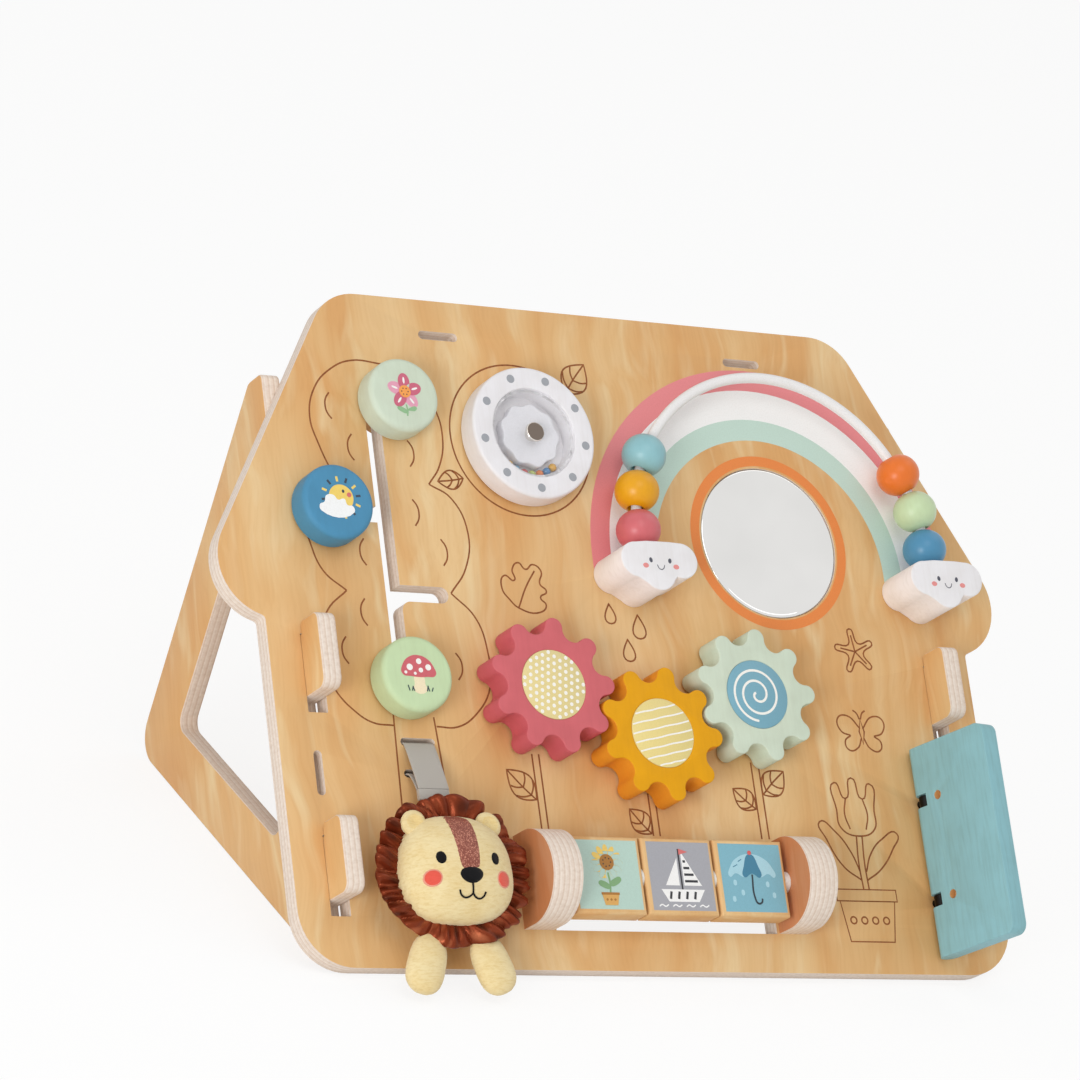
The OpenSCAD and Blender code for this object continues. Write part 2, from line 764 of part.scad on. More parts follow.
module cheek(side) {
    dome_r = cheek_h / 2;
    inner = side * cheek_inner - tile_x;
    color(bare_ply) on_board() difference() {
        along_x(min(inner, inner + side * cheek_t), cheek_t) intersection() {
            translate([tile_y - dome_r, 0]) square([cheek_h, cheek_out]);
            union() {
                translate([tile_y - dome_r, 0]) square([cheek_h, cheek_out - dome_r]);
                translate([tile_y, cheek_out - dome_r]) circle(dome_r, $fn = 128);
            }
        }
        translate([inner - side * cut, tile_y, tile_z]) rotate([0, side * 90, 0])
            cylinder(d = tile_rod_d + 2 * pin_gap, h = cheek_hold + cut);
        for (dy = [-1, 1])
            translate([inner + side * cheek_t / 2, tile_y + dy * cheek_screw_dy, -cut])
                cylinder(r = screw_r + pin_gap, h = cheek_screw_l + screw_tip_gap + cut);
    }
}

module cheek_screws() {
    color(steel) on_board() for (p = cheek_screw_places) back_screw(p[0], p[1], cheek_screw_l);
}

// ---- Bead arch ----

cloud_k = cloud_w / 40;
cloud_top = cloud_y + 11.6 * cloud_k;
cloud_screw_places = [for (s = [-1, 1], dx = [-1, 1])
    [arch_x + s * arch_r + cloud_shift + dx * cloud_screw_dx, cloud_y + 2]];
rod_end_y = cloud_y - 4;

module arch_rod() {
    color(white) on_board() translate([arch_x, arch_y, arch_z]) {
        rotate_extrude(angle = 180, $fn = 128) translate([arch_r, 0])
            circle(d = arch_rod_d, $fn = 32);
        for (s = [-1, 1]) translate([s * arch_r, 0, 0]) rotate([90, 0, 0])
            cylinder(d = arch_rod_d, h = arch_y - rod_end_y, $fn = 32);
    }
}

module cloud_outline() {
    puffs = [[-11.8, 2.4, 8.4], [-1, -2.9, 8.8], [11.7, 2.9, 8.4]] * cloud_k;
    for (p = puffs) translate([p[0], p[1]]) circle(p[2]);
    polygon([[-13.5, -5.3], [-5, -10.4], [4.6, -9.6], [9, -4.2], [11.7, 2.3], [11.7, 11.3],
        [6, 11.6], [-6, 11.5], [-11.8, 10.8], [-11.8, 2.4]] * cloud_k);
}

module cloud(side) {
    color(white) on_board() translate([arch_x + side * arch_r, cloud_y, 0]) difference() {
        translate([cloud_shift, 0, 0]) linear_extrude(cloud_t) cloud_outline();
        translate([0, rod_end_y - cloud_y - 0.2, arch_z]) rotate([-90, 0, 0])
            cylinder(d = arch_rod_d + 2 * pin_gap, h = cloud_w);
        for (dx = [-1, 1]) translate([cloud_shift + dx * cloud_screw_dx, 2, -cut])
            cylinder(r = screw_r + pin_gap, h = cloud_screw_l + screw_tip_gap + cut);
    }
}

module cloud_screws() {
    color(steel) on_board() for (p = cloud_screw_places) back_screw(p[0], p[1], cloud_screw_l);
}

// The lowest bead sits on its cloud, and the next ones lie end to end along the arch
bead_mid_r = (bead_d - bead_l) / 2;
bead_half = sqrt(pow(bead_l / 2, 2) - pow(bead_bore_d / 2 - bead_mid_r, 2));
bead_step = 2 * atan(bead_half / (arch_r - bead_bore_d / 2)) + 0.1;
low_bead_angle = 180 + asin((arch_y - cloud_top - seat_gap - bead_half) / arch_r);

module bead(side, i, tint) {
    a = low_bead_angle - i * bead_step;
    color(tint) on_board() translate([arch_x, arch_y, arch_z])
        rotate(side < 0 ? a : 180 - a) translate([arch_r, 0, 0]) rotate([90, 0, 0])
            rotate_extrude() difference() {
                intersection() {
                    translate([bead_mid_r, 0]) circle(bead_l / 2);
                    translate([0, -bead_l]) square([bead_d, 2 * bead_l]);
                }
                translate([-1, -bead_l]) square([bead_bore_d / 2 + 1, 2 * bead_l]);
            }
}

module mirror_plate() {
    color([0.86, 0.88, 0.90]) on_board() translate([arch_x, mirror_y, -mirror_recess])
        cylinder(d = mirror_d, h = mirror_t, $fn = 128);
}

// ---- Door ----

nose_r = door_t / 2;
hinge_post_r = 1.9;
hinge_post_depth = 6;
hinge_eye_r = 3.4;
hinge_eye_l = 5;
hinge_notch_l = hinge_eye_l + 1;
hinge_hold = 10;
hinge_ys = [door_y + hinge_up, door_y + hinge_up + hinge_pitch];
plug_hole_r = 2.1;
plug_hole_u = 11.5;

// Door frame: u from the hinge pin to the free edge, y up the board, v out of the inner face
module at_door() {
    on_board() translate([door_x, 0, door_axis_z]) rotate([0, -door_lie, 0]) children();
}

module door() {
    color(sky) at_door() difference() {
        union() {
            translate([0, 0, -nose_r]) linear_extrude(door_t)
                rounded_polygon([[0, door_y], [door_w, door_y],
                    [door_w, door_y + door_h], [0, door_y + door_h]], [0, door_r, door_r, 0]);
            translate([0, door_y, 0]) rotate([-90, 0, 0]) cylinder(r = nose_r, h = door_h);
        }
        for (y = hinge_ys) {
            translate([-nose_r - cut, y - hinge_notch_l / 2, -nose_r - cut])
                cube([nose_r + cut + hinge_eye_r + 0.8, hinge_notch_l, door_t + 2 * cut]);
            translate([0, y - hinge_notch_l / 2 - hinge_hold, 0]) rotate([-90, 0, 0])
                cylinder(d = hinge_pin_d + 2 * run_gap, h = hinge_notch_l + 2 * hinge_hold);
            translate([plug_hole_u, y, nose_r - 4]) cylinder(r = plug_hole_r, h = 4 + cut);
        }
    }
}

module hinge_eyes() {
    color([0.08, 0.08, 0.08]) on_board() for (y = hinge_ys) translate([door_x, y, 0]) difference() {
        union() {
            translate([0, 0, -hinge_post_depth + 0.1])
                cylinder(r = hinge_post_r, h = hinge_post_depth + door_axis_z);
            translate([0, -hinge_eye_l / 2, door_axis_z]) rotate([-90, 0, 0])
                cylinder(r = hinge_eye_r, h = hinge_eye_l);
        }
        translate([0, -hinge_eye_l, door_axis_z]) rotate([-90, 0, 0])
            cylinder(d = hinge_pin_d + 2 * pin_gap, h = 2 * hinge_eye_l);
    }
}

module hinge_pins() {
    l = hinge_notch_l + 2 * hinge_hold - 0.4;
    color(steel) on_board() for (y = hinge_ys)
        translate([door_x, y - l / 2, door_axis_z]) rotate([-90, 0, 0])
            cylinder(d = hinge_pin_d, h = l);
}

// ---- Lion on its ribbon ----

head_z = head_t / 2 + 0.6;
mane_z = 19;
tab_y = 77.2;
tab_z = 8;
tab_l = 4.6;
tab_t = 3;
tab_gap = 0.5;   // so that the tab's corners swing clear of the ribbon's ends

module ribbon_loop() {
    low_slot_y = ribbon_slot_y - ribbon_slot_pitch;
    back_z = -board_t - ribbon_t / 2 - 0.3;
    front_z = ribbon_t / 2 + 0.3;
    end_y = tab_y + ribbon_t / 2 + tab_gap;
    route = [[end_y, tab_z + 0.8], [ribbon_slot_y - 2.5, front_z + 0.6], [ribbon_slot_y, front_z - 1],
        [ribbon_slot_y, back_z], [low_slot_y, back_z], [low_slot_y, front_z], [end_y, tab_z - 0.8]];
    color([0.70, 0.71, 0.72]) on_board() along_x(-lion_x - ribbon_w / 2, ribbon_w)
        for (i = [0:len(route) - 2]) groove(route[i], route[i + 1], ribbon_t);
}

module ribbon_tab() {
    color([0.66, 0.67, 0.68]) on_board() along_x(-lion_x - ribbon_w / 2 + 0.5, ribbon_w - 1)
        translate([tab_y - tab_l, tab_z - tab_t / 2]) square([tab_l, tab_t]);
}

module egg(w, h, t) {
    scale([w / 2, h / 2, t / 2]) sphere(1, $fn = 28);
}

module at_lion() {
    on_board() translate([-lion_x, lion_y, 0]) children();
}

module lion_head() {
    color(cream) at_lion() translate([0, 0, head_z]) egg(head_w, head_h, head_t);
}

module lion_mane() {
    soft = 2 * seat_gap;
    color(mane_brown) at_lion() difference() {
        translate([0, 0, mane_z]) egg(mane_w, mane_h, mane_t);
        translate([0, 0, head_z]) egg(head_w + soft, head_h + soft, head_t + soft);
    }
}

ear_x = 18.5;
ear_y = 20.5;
ear_d = 13;
module lion_ears() {
    color(cream) at_lion() difference() {
        for (s = [-1, 1]) translate([s * ear_x, ear_y, mane_z + mane_t / 2 + 1.5])
            egg(ear_d, ear_d - 2, 7);
        translate([0, 0, head_z]) egg(head_w + 0.4, head_h + 0.4, head_t + 0.4);
        translate([0, 0, mane_z]) egg(mane_w + 0.4, mane_h + 0.4, mane_t + 0.4);
    }
}

// The feet are sewn under the mane, so their places follow its edge
foot_x = 16;
foot_y = 8.3 - (mane_h + foot_l) / 2;
foot_z = mane_z - (mane_t + foot_t) / 2 + 5;
foot_splay = 20;
module lion_feet() {
    color(cream) at_lion() for (s = [-1, 1])
        translate([s * foot_x, foot_y, foot_z]) rotate(s * foot_splay) egg(foot_w, foot_l, foot_t);
}

board();
leg(-1);  // left_leg
leg(1);  // right_leg
knob(top_knob_place, mint);  // top_knob
keeper(top_knob_place);  // top_knob_keeper
knob_screw(top_knob_place);  // top_knob_screw
knob(left_knob_place, sea_blue);  // left_knob
keeper(left_knob_place);  // left_knob_keeper
knob_screw(left_knob_place);  // left_knob_screw
knob(low_knob_place, leaf_green);  // low_knob
keeper(low_knob_place);  // low_knob_keeper
knob_screw(low_knob_place);  // low_knob_screw
wheel_ring();
wheel_hub();
wheel_window();
rattle_beads();
wheel_axle();
wheel_washer();
wheel_nut();
gear(0, left_gear_turn, rose);  // left_gear
gear(1, gear_turn, amber);  // middle_gear
gear(2, right_gear_turn, mint);  // right_gear
gear_disc(0, left_gear_turn, cream);  // left_gear_disc
gear_disc(1, gear_turn, cream);  // middle_gear_disc
gear_disc(2, right_gear_turn, sky);  // right_gear_disc
gear_axles();
gear_washers();
gear_nuts();
tile(-1, mint);  // left_tile
tile(0, [0.64, 0.64, 0.66]);  // middle_tile
tile(1, sky);  // right_tile
tile_rod();
tile_washers();
cheek(-1);  // left_cheek
cheek(1);  // right_cheek
cheek_screws();
arch_rod();
cloud(-1);  // left_cloud
cloud(1);  // right_cloud
cloud_screws();
bead(-1, 2, sky);  // left_bead_top
bead(-1, 1, amber);  // left_bead_middle
bead(-1, 0, rose);  // left_bead_low
bead(1, 2, [0.88, 0.40, 0.15]);  // right_bead_top
bead(1, 1, leaf_green);  // right_bead_middle
bead(1, 0, sea_blue);  // right_bead_low
mirror_plate();  // mirror
door();
hinge_eyes();
hinge_pins();
ribbon_loop();
ribbon_tab();
lion_head();
lion_mane();
lion_ears();
lion_feet();
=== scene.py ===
"""Looks for a wooden busy board: wood, paint, prints, engraving, plush and light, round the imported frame."""

import json
import math

import bpy
from bpy.props import FloatProperty, FloatVectorProperty, PointerProperty
from mathutils import Matrix, Vector, noise

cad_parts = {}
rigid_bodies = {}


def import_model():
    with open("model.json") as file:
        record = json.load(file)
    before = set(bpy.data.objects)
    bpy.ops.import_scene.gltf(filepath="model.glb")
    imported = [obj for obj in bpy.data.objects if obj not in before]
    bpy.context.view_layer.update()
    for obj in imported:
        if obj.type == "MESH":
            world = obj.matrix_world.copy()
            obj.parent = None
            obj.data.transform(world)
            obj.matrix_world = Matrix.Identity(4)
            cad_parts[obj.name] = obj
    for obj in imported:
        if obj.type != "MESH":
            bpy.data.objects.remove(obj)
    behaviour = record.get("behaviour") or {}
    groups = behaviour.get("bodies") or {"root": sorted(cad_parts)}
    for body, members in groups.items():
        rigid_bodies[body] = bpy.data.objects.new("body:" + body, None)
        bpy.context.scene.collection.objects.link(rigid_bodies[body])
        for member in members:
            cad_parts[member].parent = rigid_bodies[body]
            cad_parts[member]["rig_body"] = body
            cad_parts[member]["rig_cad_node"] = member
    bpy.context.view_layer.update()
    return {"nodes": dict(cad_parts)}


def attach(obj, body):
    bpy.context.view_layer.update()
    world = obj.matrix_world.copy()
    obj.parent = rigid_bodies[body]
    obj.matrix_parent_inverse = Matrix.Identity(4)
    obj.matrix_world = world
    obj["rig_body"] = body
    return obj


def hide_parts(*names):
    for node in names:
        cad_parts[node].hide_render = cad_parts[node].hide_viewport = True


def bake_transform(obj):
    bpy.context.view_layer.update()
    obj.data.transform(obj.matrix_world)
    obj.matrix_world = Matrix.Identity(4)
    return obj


bl_info = {
    "name": "Wooden Busy Board",
    "version": (1, 0, 0),
    "blender": (4, 5, 0),
    "location": "View3D > Sidebar > Busy Board",
    "description": "Dresses the packed busy board: wood, paint, prints, engraving and a plush lion",
    "category": "Add Mesh",
}

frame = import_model()

MM = 0.001

# Board frame: x to the right, y up along the face, z out of the face, 0 on the front face
LEAN = 43.5
BOARD = Matrix.Translation((0, -0.095569, 0.006195)) @ Matrix.Rotation(math.radians(90 - LEAN), 4, "X")
UP = BOARD.to_3x3() @ Vector((0, 1, 0))
NORMAL = BOARD.to_3x3() @ Vector((0, 0, 1))

# Measures in the board frame, in millimetres
SIDES = {"left": -1, "right": 1}
PLYWOOD = 9.0
LEG_MIDDLE = 164.25
WHEEL = (-44.8, 245.8)
WHEEL_BORE = 3.08
WHEEL_FLOOR, WHEEL_SHELF, WHEEL_TOP = 3.6, 10.7, 12.6
WHEEL_DOTS_R, WINDOW_TOP = 26.6, 12.3
WHEEL_AXLE_END, WHEEL_AXLE_TOP = -12.0, 13.75
RATTLE_R, RATTLE_TRACK_R = 1.9, 17.8
GEARS = {"left": (-53.5, 125.436), "middle": (0.0, 105.2), "right": (53.5, 125.436)}
GEAR_DISC_Z, GEAR_TOP = 14.5, 15.4
RAINBOW = (82.5, 193.2)
MIRROR = (82.5, 205.0)
ARCH = (82.5, 203.0)
ARCH_R, ROD_R, ROD_Z = 79.0, 2.5, 12.5
BEAD_R, BEAD_HOLE_R, BEAD_END = 9.45, 3.5, 8.6
CLOUD_Y, CLOUD_TOP = 181.0, 25.0
TILE_PLACES = {"left": -1, "middle": 0, "right": 1}
TILE_PITCH, TILE_HALF, TILE_FACE = 37.6, 6.15, (16.2, 15.6)
TILE_X, TILE_Y, TILE_Z = -1.2, 39.0, 9.6
CHEEK_INNER, CHEEK = 58.75, 15.0
KNOBS = {"top": (-110.2, 258.7), "left": (-149.6, 205.9), "low": (-120.3, 128.3)}
KNOB_TOP = 13.5
DOOR_HINGE, DOOR_TURN = (146.0, 0.0, 5.0), -80.0
DOOR_HOLE_IN, DOOR_HOLE_R, DOOR_HOLE_DEPTH, DOOR_HOLES = 11.5, 2.15, 4.3, (33.5, 80.5)
LION = (-117.0, 38.6)
RIBBON_W = 15.0
RIBBON_ROUTE = (
    [(77.6, 8.8), (88, 5.4), (98.6, 1.5), (101.3, -0.4), (101.3, -9.3), (99.8, -9.8)]
    + [(88.4, -9.8), (86.9, -9.3), (86.9, -0.2), (85.6, 2.4), (81, 5.6), (77.6, 7.0)]
)
LAYER = 0.05  # height of each layer of ink


def linear(code):
    """An sRGB hex colour as linear RGBA."""
    channels = [int(code[i : i + 2], 16) / 255 for i in (1, 3, 5)]
    return tuple(c / 12.92 if c <= 0.04045 else ((c + 0.055) / 1.055) ** 2.4 for c in channels) + (1.0,)


WHITE = linear("#FFFFFF")


def hue(name, description, code):
    limits = {"size": 4, "min": 0, "max": 1}
    return FloatVectorProperty(
        name=name, description=description, subtype="COLOR", default=linear(code), **limits
    )


def length(name, description, mm, low, high):
    limits = {"default": mm * MM, "min": low * MM, "max": high * MM}
    return FloatProperty(name=name, description=description, unit="LENGTH", precision=4, **limits)


class BusyBoardSizes(bpy.types.PropertyGroup):
    """Sizes of the dressed pieces"""

    line_w: length("Engraved Line", "Width of the engraved lines", 0.8, 0.4, 1.5)
    wood_edge: length("Board Edge", "Softening of the board's and legs' edges", 0.9, 0.3, 1.5)
    paint_edge: length("Painted Edge", "Softening of the gears' edges", 1.3, 0.5, 1.8)
    ply: length("Ply", "Thickness of one ply in the board's edge", 1.3, 0.8, 2)


class BusyBoardColours(bpy.types.PropertyGroup):
    """Colours of the paints, inks and fabrics"""

    honey: hue("Veneer", "Middle colour of the veneer", "#DEB27A")
    pale_veneer: hue("Pale Streak", "Pale streaks in the veneer", "#E4C08C")
    dark_veneer: hue("Dark Streak", "Darker streaks in the veneer", "#D9A56A")
    pale_ply: hue("Pale Ply", "Pale plies in a cut edge", "#EEE1D5")
    dark_ply: hue("Dark Ply", "Darker plies in a cut edge", "#DEC9B6")
    mint: hue("Mint Paint", "Top knob and right gear", "#D0DCC8")
    sea: hue("Sea Blue Paint", "Left knob and one bead", "#4F8FB4")
    leaf: hue("Leaf Green Paint", "Low knob and one bead", "#C7DCB0")
    rose: hue("Rose Paint", "Left gear and one bead", "#D26A70")
    amber: hue("Amber Paint", "Middle gear and one bead", "#E6A30C")
    orange: hue("Orange Paint", "One bead", "#E97628")
    sky: hue("Sky Blue Paint", "Door and one bead", "#8FC0C8")
    plush: hue("Plush", "Lion's head, ears and feet", "#EBD8A7")
    satin: hue("Satin", "Lion's mane", "#7A321B")


def sizes():
    return bpy.context.scene.busy_board_sizes


def colours():
    return bpy.context.scene.busy_board_colours


# ---- Modelling helpers ----


def clear():
    """Leaves edit mode with nothing selected."""
    if bpy.context.object and bpy.context.object.mode != "OBJECT":
        bpy.ops.object.mode_set(mode="OBJECT")
    bpy.ops.object.select_all(action="DESELECT")


def only(piece):
    clear()
    piece.select_set(True)
    bpy.context.view_layer.objects.active = piece
    return piece


def edit(piece):
    """Edit mode with the whole mesh selected. only() or clear() leaves it."""
    only(piece)
    bpy.ops.object.mode_set(mode="EDIT")
    bpy.ops.mesh.select_all(action="SELECT")


def named(piece, name):
    piece.name = piece.data.name = name
    return piece


def start(name, operator, **settings):
    """Adds a primitive with nothing else selected, and names it."""
    clear()
    operator(**settings)
    return named(bpy.context.active_object, name)


def ball(name, segments, rings, radius=1.0):
    settings = {"segments": segments, "ring_count": rings, "radius": radius}
    return start(name, bpy.ops.mesh.primitive_uv_sphere_add, **settings)


def grid(name, across, along, size=2.0):
    settings = {"x_subdivisions": across, "y_subdivisions": along, "size": size}
    return start(name, bpy.ops.mesh.primitive_grid_add, **settings)


def twins(first, names):
    """A piece and its copies, one for each name."""
    pieces = [first]
    for _ in names[1:]:
        only(first)
        bpy.ops.object.duplicate(linked=False)
        pieces.append(bpy.context.active_object)
    return [named(piece, name) for piece, name in zip(pieces, names)]


def shaped(piece, shape):
    """Moves each vertex to where the shape maps it, in millimetres."""
    for vertex in piece.data.vertices:
        vertex.co = [value * MM for value in shape(*vertex.co)]
    return piece


def add_modifier(piece, kind, **settings):
    only(piece)
    modifier = piece.modifiers.new(kind.title(), kind)
    for key, value in settings.items():
        setattr(modifier, key, value)
    bpy.ops.object.modifier_apply(modifier=modifier.name)
    return piece


def soften(piece, width=0.0, segments=3, angle=34):
    """Rounds the sharp edges and shades the rest smooth."""
    if width:
        limit = {"limit_method": "ANGLE", "angle_limit": math.radians(angle)}
        add_modifier(piece, "BEVEL", width=width, segments=segments, **limit)
    only(piece)
    bpy.ops.object.shade_smooth_by_angle(angle=math.radians(40))
    return piece


def settle(piece, place):
    """Puts a piece in its place and applies it, so the object stays at the origin."""
    only(piece)
    piece.matrix_world = place
    bpy.ops.object.transform_apply(location=True, rotation=True, scale=True)
    return piece


def on_board(x=0.0, y=0.0, z=0.0, turn=0.0):
    """A place in the board frame, in millimetres and degrees."""
    place = Matrix.Translation((x * MM, y * MM, z * MM))
    return BOARD @ place @ Matrix.Rotation(math.radians(turn), 4, "Z")


def weld(piece, distance=1e-6):
    """Joins the vertices that meet and turns the faces outward."""
    edit(piece)
    bpy.ops.mesh.remove_doubles(threshold=distance)
    bpy.ops.mesh.normals_make_consistent(inside=False)
    return only(piece)


def wear(piece, *materials):
    piece.data.materials.clear()
    for material in materials:
        piece.data.materials.append(material)
    return piece


def two_tone(piece, second):
    """Gives the second material to the faces that pass the test."""
    for face in piece.data.polygons:
        face.material_index = int(second(face))
    return piece


def fit(piece, body, *nodes):
    """Rides the piece on its body. It stands for the CAD nodes named, which it hides."""
    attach(piece, body)
    if nodes:
        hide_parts(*nodes)
    return piece


def dress(source, name, width, materials, body="", second=None, angle=34):
    """A CAD node in its look: merged, softened, and two-toned by the test for its second material."""
    only(frame["nodes"][source])
    bpy.ops.object.duplicate(linked=False)
    piece = named(bpy.context.active_object, name)
    piece.parent = None
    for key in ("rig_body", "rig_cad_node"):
        del piece[key]
    only(piece)
    bpy.ops.mesh.customdata_custom_splitnormals_clear()
    edit(piece)
    bpy.ops.mesh.remove_doubles(threshold=2e-6)
    bpy.ops.mesh.dissolve_limited(angle_limit=math.radians(0.4))
    wear(soften(piece, width, angle=angle), *materials)
    if second:
        two_tone(piece, second)
    return fit(piece, body or source, source)


def side_face(face):
    """True for a face that runs round the edge of a plate that stands upright in x."""
    return abs(face.normal.x) <= 0.8


def turned(name, section, place, *materials, steps=64):
    """Spins a section of (radius, height) points in millimetres round Z, and puts the solid in its place."""
    piece = start(name, bpy.ops.mesh.primitive_circle_add, vertices=len(section), radius=1)
    for vertex, (r, h) in zip(piece.data.vertices, section):
        vertex.co = (r * MM, 0, h * MM)
    edit(piece)
    bpy.ops.mesh.select_mode(type="EDGE")
    bpy.ops.mesh.select_all(action="DESELECT")
    only(piece)
    points = piece.data.vertices
    for edge in piece.data.edges:
        edge.select = all(points[i].co.x < 1e-7 for i in edge.vertices)
    bpy.ops.object.mode_set(mode="EDIT")
    bpy.ops.mesh.delete(type="EDGE")
    bpy.ops.mesh.select_all(action="SELECT")
    bpy.ops.mesh.spin(steps=steps, angle=math.tau, center=(0, 0, 0), axis=(0, 0, 1))
    return settle(wear(soften(weld(piece)), *materials), place)


# ---- Flat art: engraving, paint and prints ----


def polar(r, angle):
    return r * math.cos(math.radians(angle)), r * math.sin(math.radians(angle))


def moved(points, x, y, turn=0.0):
    c, s = polar(1, turn)
    return [(x + px * c - py * s, y + px * s + py * c) for px, py in points]


def arc(cx, cy, r, a0, a1, n=6):
    """Points on an arc, ends included."""
    return moved([polar(r, a0 + (a1 - a0) * i / n) for i in range(n + 1)], cx, cy)


def ellipse(cx, cy, rx, ry=None, turn=0.0, n=24):
    turns = [math.tau * i / n for i in range(n)]
    return moved([(rx * math.cos(a), (ry or rx) * math.sin(a)) for a in turns], cx, cy, turn)


def fill(tone, layer, outline, smooth=True):
    return tone, layer, None, outline, True, smooth


def line(tone, layer, points, width, closed=False, smooth=True):
    return tone, layer, width, points, closed, smooth


def spots(tone, layer, places, radius, n=24):
    return [fill(tone, layer, ellipse(x, y, radius, n=n)) for x, y in places]


def swept(name, strokes, bevel, sides=1, steps=6):
    """A mesh of strokes, each (points, closed, smooth): threads, or filled outlines with no bevel."""
    curve = start(name, bpy.ops.curve.primitive_bezier_curve_add)
    data = curve.data
    data.splines.clear()
    data.dimensions = "3D" if bevel else "2D"
    for points, closed, smooth in strokes:
        spline = data.splines.new("BEZIER")
        spline.bezier_points.add(len(points) - 1)
        for point, place in zip(spline.bezier_points, points):
            point.co = [value * MM for value in (*place, 0)[:3]]
            point.handle_left_type = point.handle_right_type = "AUTO" if smooth else "VECTOR"
        spline.use_cyclic_u = closed
        spline.resolution_u = steps if smooth else 1
    if bevel:
        data.bevel_depth = bevel * MM
        data.bevel_resolution = sides
        data.use_fill_caps = True
    else:
        data.fill_mode = "BOTH"
        data.extrude = LAYER / 2 * MM
    only(curve)
    bpy.ops.object.convert(target="MESH")
    return bpy.context.active_object


def draw(name, marks, place):
    """Makes marks one flat piece: filled outlines and round-ended lines, each in its own ink and layer."""
    groups = {}
    for tone, layer, width, *stroke in marks:
        groups.setdefault((tone, layer, width), []).append(stroke)
    parts = []
    for (tone, layer, width), strokes in groups.items():
        part = swept(name, strokes, width / 2 if width else 0)
        flat = LAYER * 1.4 / width if width else 1
        lift = Matrix.Translation((0, 0, (layer + 0.5) * LAYER * MM))
        parts.append(wear(settle(part, lift @ Matrix.Diagonal((1, 1, flat, 1))), tone))
    only(parts[0])
    if len(parts) > 1:
        for part in parts:
            part.select_set(True)
        bpy.ops.object.join()
    piece = named(bpy.context.active_object, name)
    edit(piece)
    bpy.ops.mesh.remove_doubles(threshold=1e-7)
    return settle(soften(piece), place)


# ---- Materials ----


def feed(target, inputs):
    """Links each input of a node that is given a socket, and sets the others."""
    for key, value in inputs.items():
        if isinstance(value, bpy.types.NodeSocket):
            target.id_data.links.new(value, target.inputs[key])
        else:
            target.inputs[key].default_value = value


def node(tree, kind, inputs=None, stops=(), out=0, **settings):
    """Adds a node with its settings and links, and returns one of its outputs."""
    made = tree.nodes.new("ShaderNode" + kind)
    for key, value in settings.items():
        setattr(made, key, value)
    if stops:
        elements = made.color_ramp.elements
        while len(elements) < len(stops):
            elements.new(0.5)
        for element, (position, colour) in zip(elements, stops):
            element.position = position
            element.color = colour
    feed(made, inputs or {})
    return made.outputs[out] if made.outputs else None


def feed_shader(tree, inputs):
    feed(tree.nodes["Principled BSDF"], inputs)


def new_material(name, **sockets):
    """A Principled material with constant sockets, and its tree."""
    material = bpy.data.materials.new(name)
    material.use_nodes = True
    feed_shader(material.node_tree, {key.replace("_", " "): value for key, value in sockets.items()})
    return material, material.node_tree


def board_space(tree, *scale):
    """Object coordinates in the board frame, in metres, then scaled."""
    back = BOARD.inverted()
    turn = {"Location": back.to_translation(), "Rotation": back.to_euler()}
    place = node(tree, "Mapping", {"Vector": node(tree, "TexCoord", out="Object"), **turn})
    if not scale:
        return place
    return node(tree, "Mapping", {"Vector": place, "Scale": scale if len(scale) == 3 else scale * 3})


def mottle(tree, *scale, detail=2.0, roughness=0.5):
    """The height of a noise that is fixed to the board, this many cells to the metre along each axis."""
    settings = {"Scale": 1.0, "Detail": detail, "Roughness": roughness}
    return node(tree, "TexNoise", {"Vector": board_space(tree, *scale), **settings})


def ribs(tree, axis, pitch):
    """A wave from -1 to 1 along one axis of the board, with its pitch in millimetres."""
    along = node(tree, "SeparateXYZ", {"Vector": board_space(tree)}, out=axis)
    turns = node(tree, "Math", {0: along, 1: math.tau / (pitch * MM)}, operation="MULTIPLY")
    return node(tree, "Math", {0: turns}, operation="SINE")


def finish(material, colour, layers, bump=None):
    """Multiplies layers of (height, low, dark, high, share) into the colour. The first one makes the bump."""
    tree = material.node_tree
    for height, low, dark, high, share in layers:
        shade = node(tree, "ValToRGB", {"Fac": height}, [(low, linear(dark)), (high, WHITE)])
        colour = node(
            tree, "Mix", {0: share, 6: colour, 7: shade}, out=2, data_type="RGBA", blend_type="MULTIPLY"
        )
    feed_shader(tree, {"Base Color": colour})
    if bump:
        distance, strength = bump
        raised = {"Height": layers[0][0], "Distance": distance, "Strength": strength}
        feed_shader(tree, {"Normal": node(tree, "Bump", raised)})
    return material


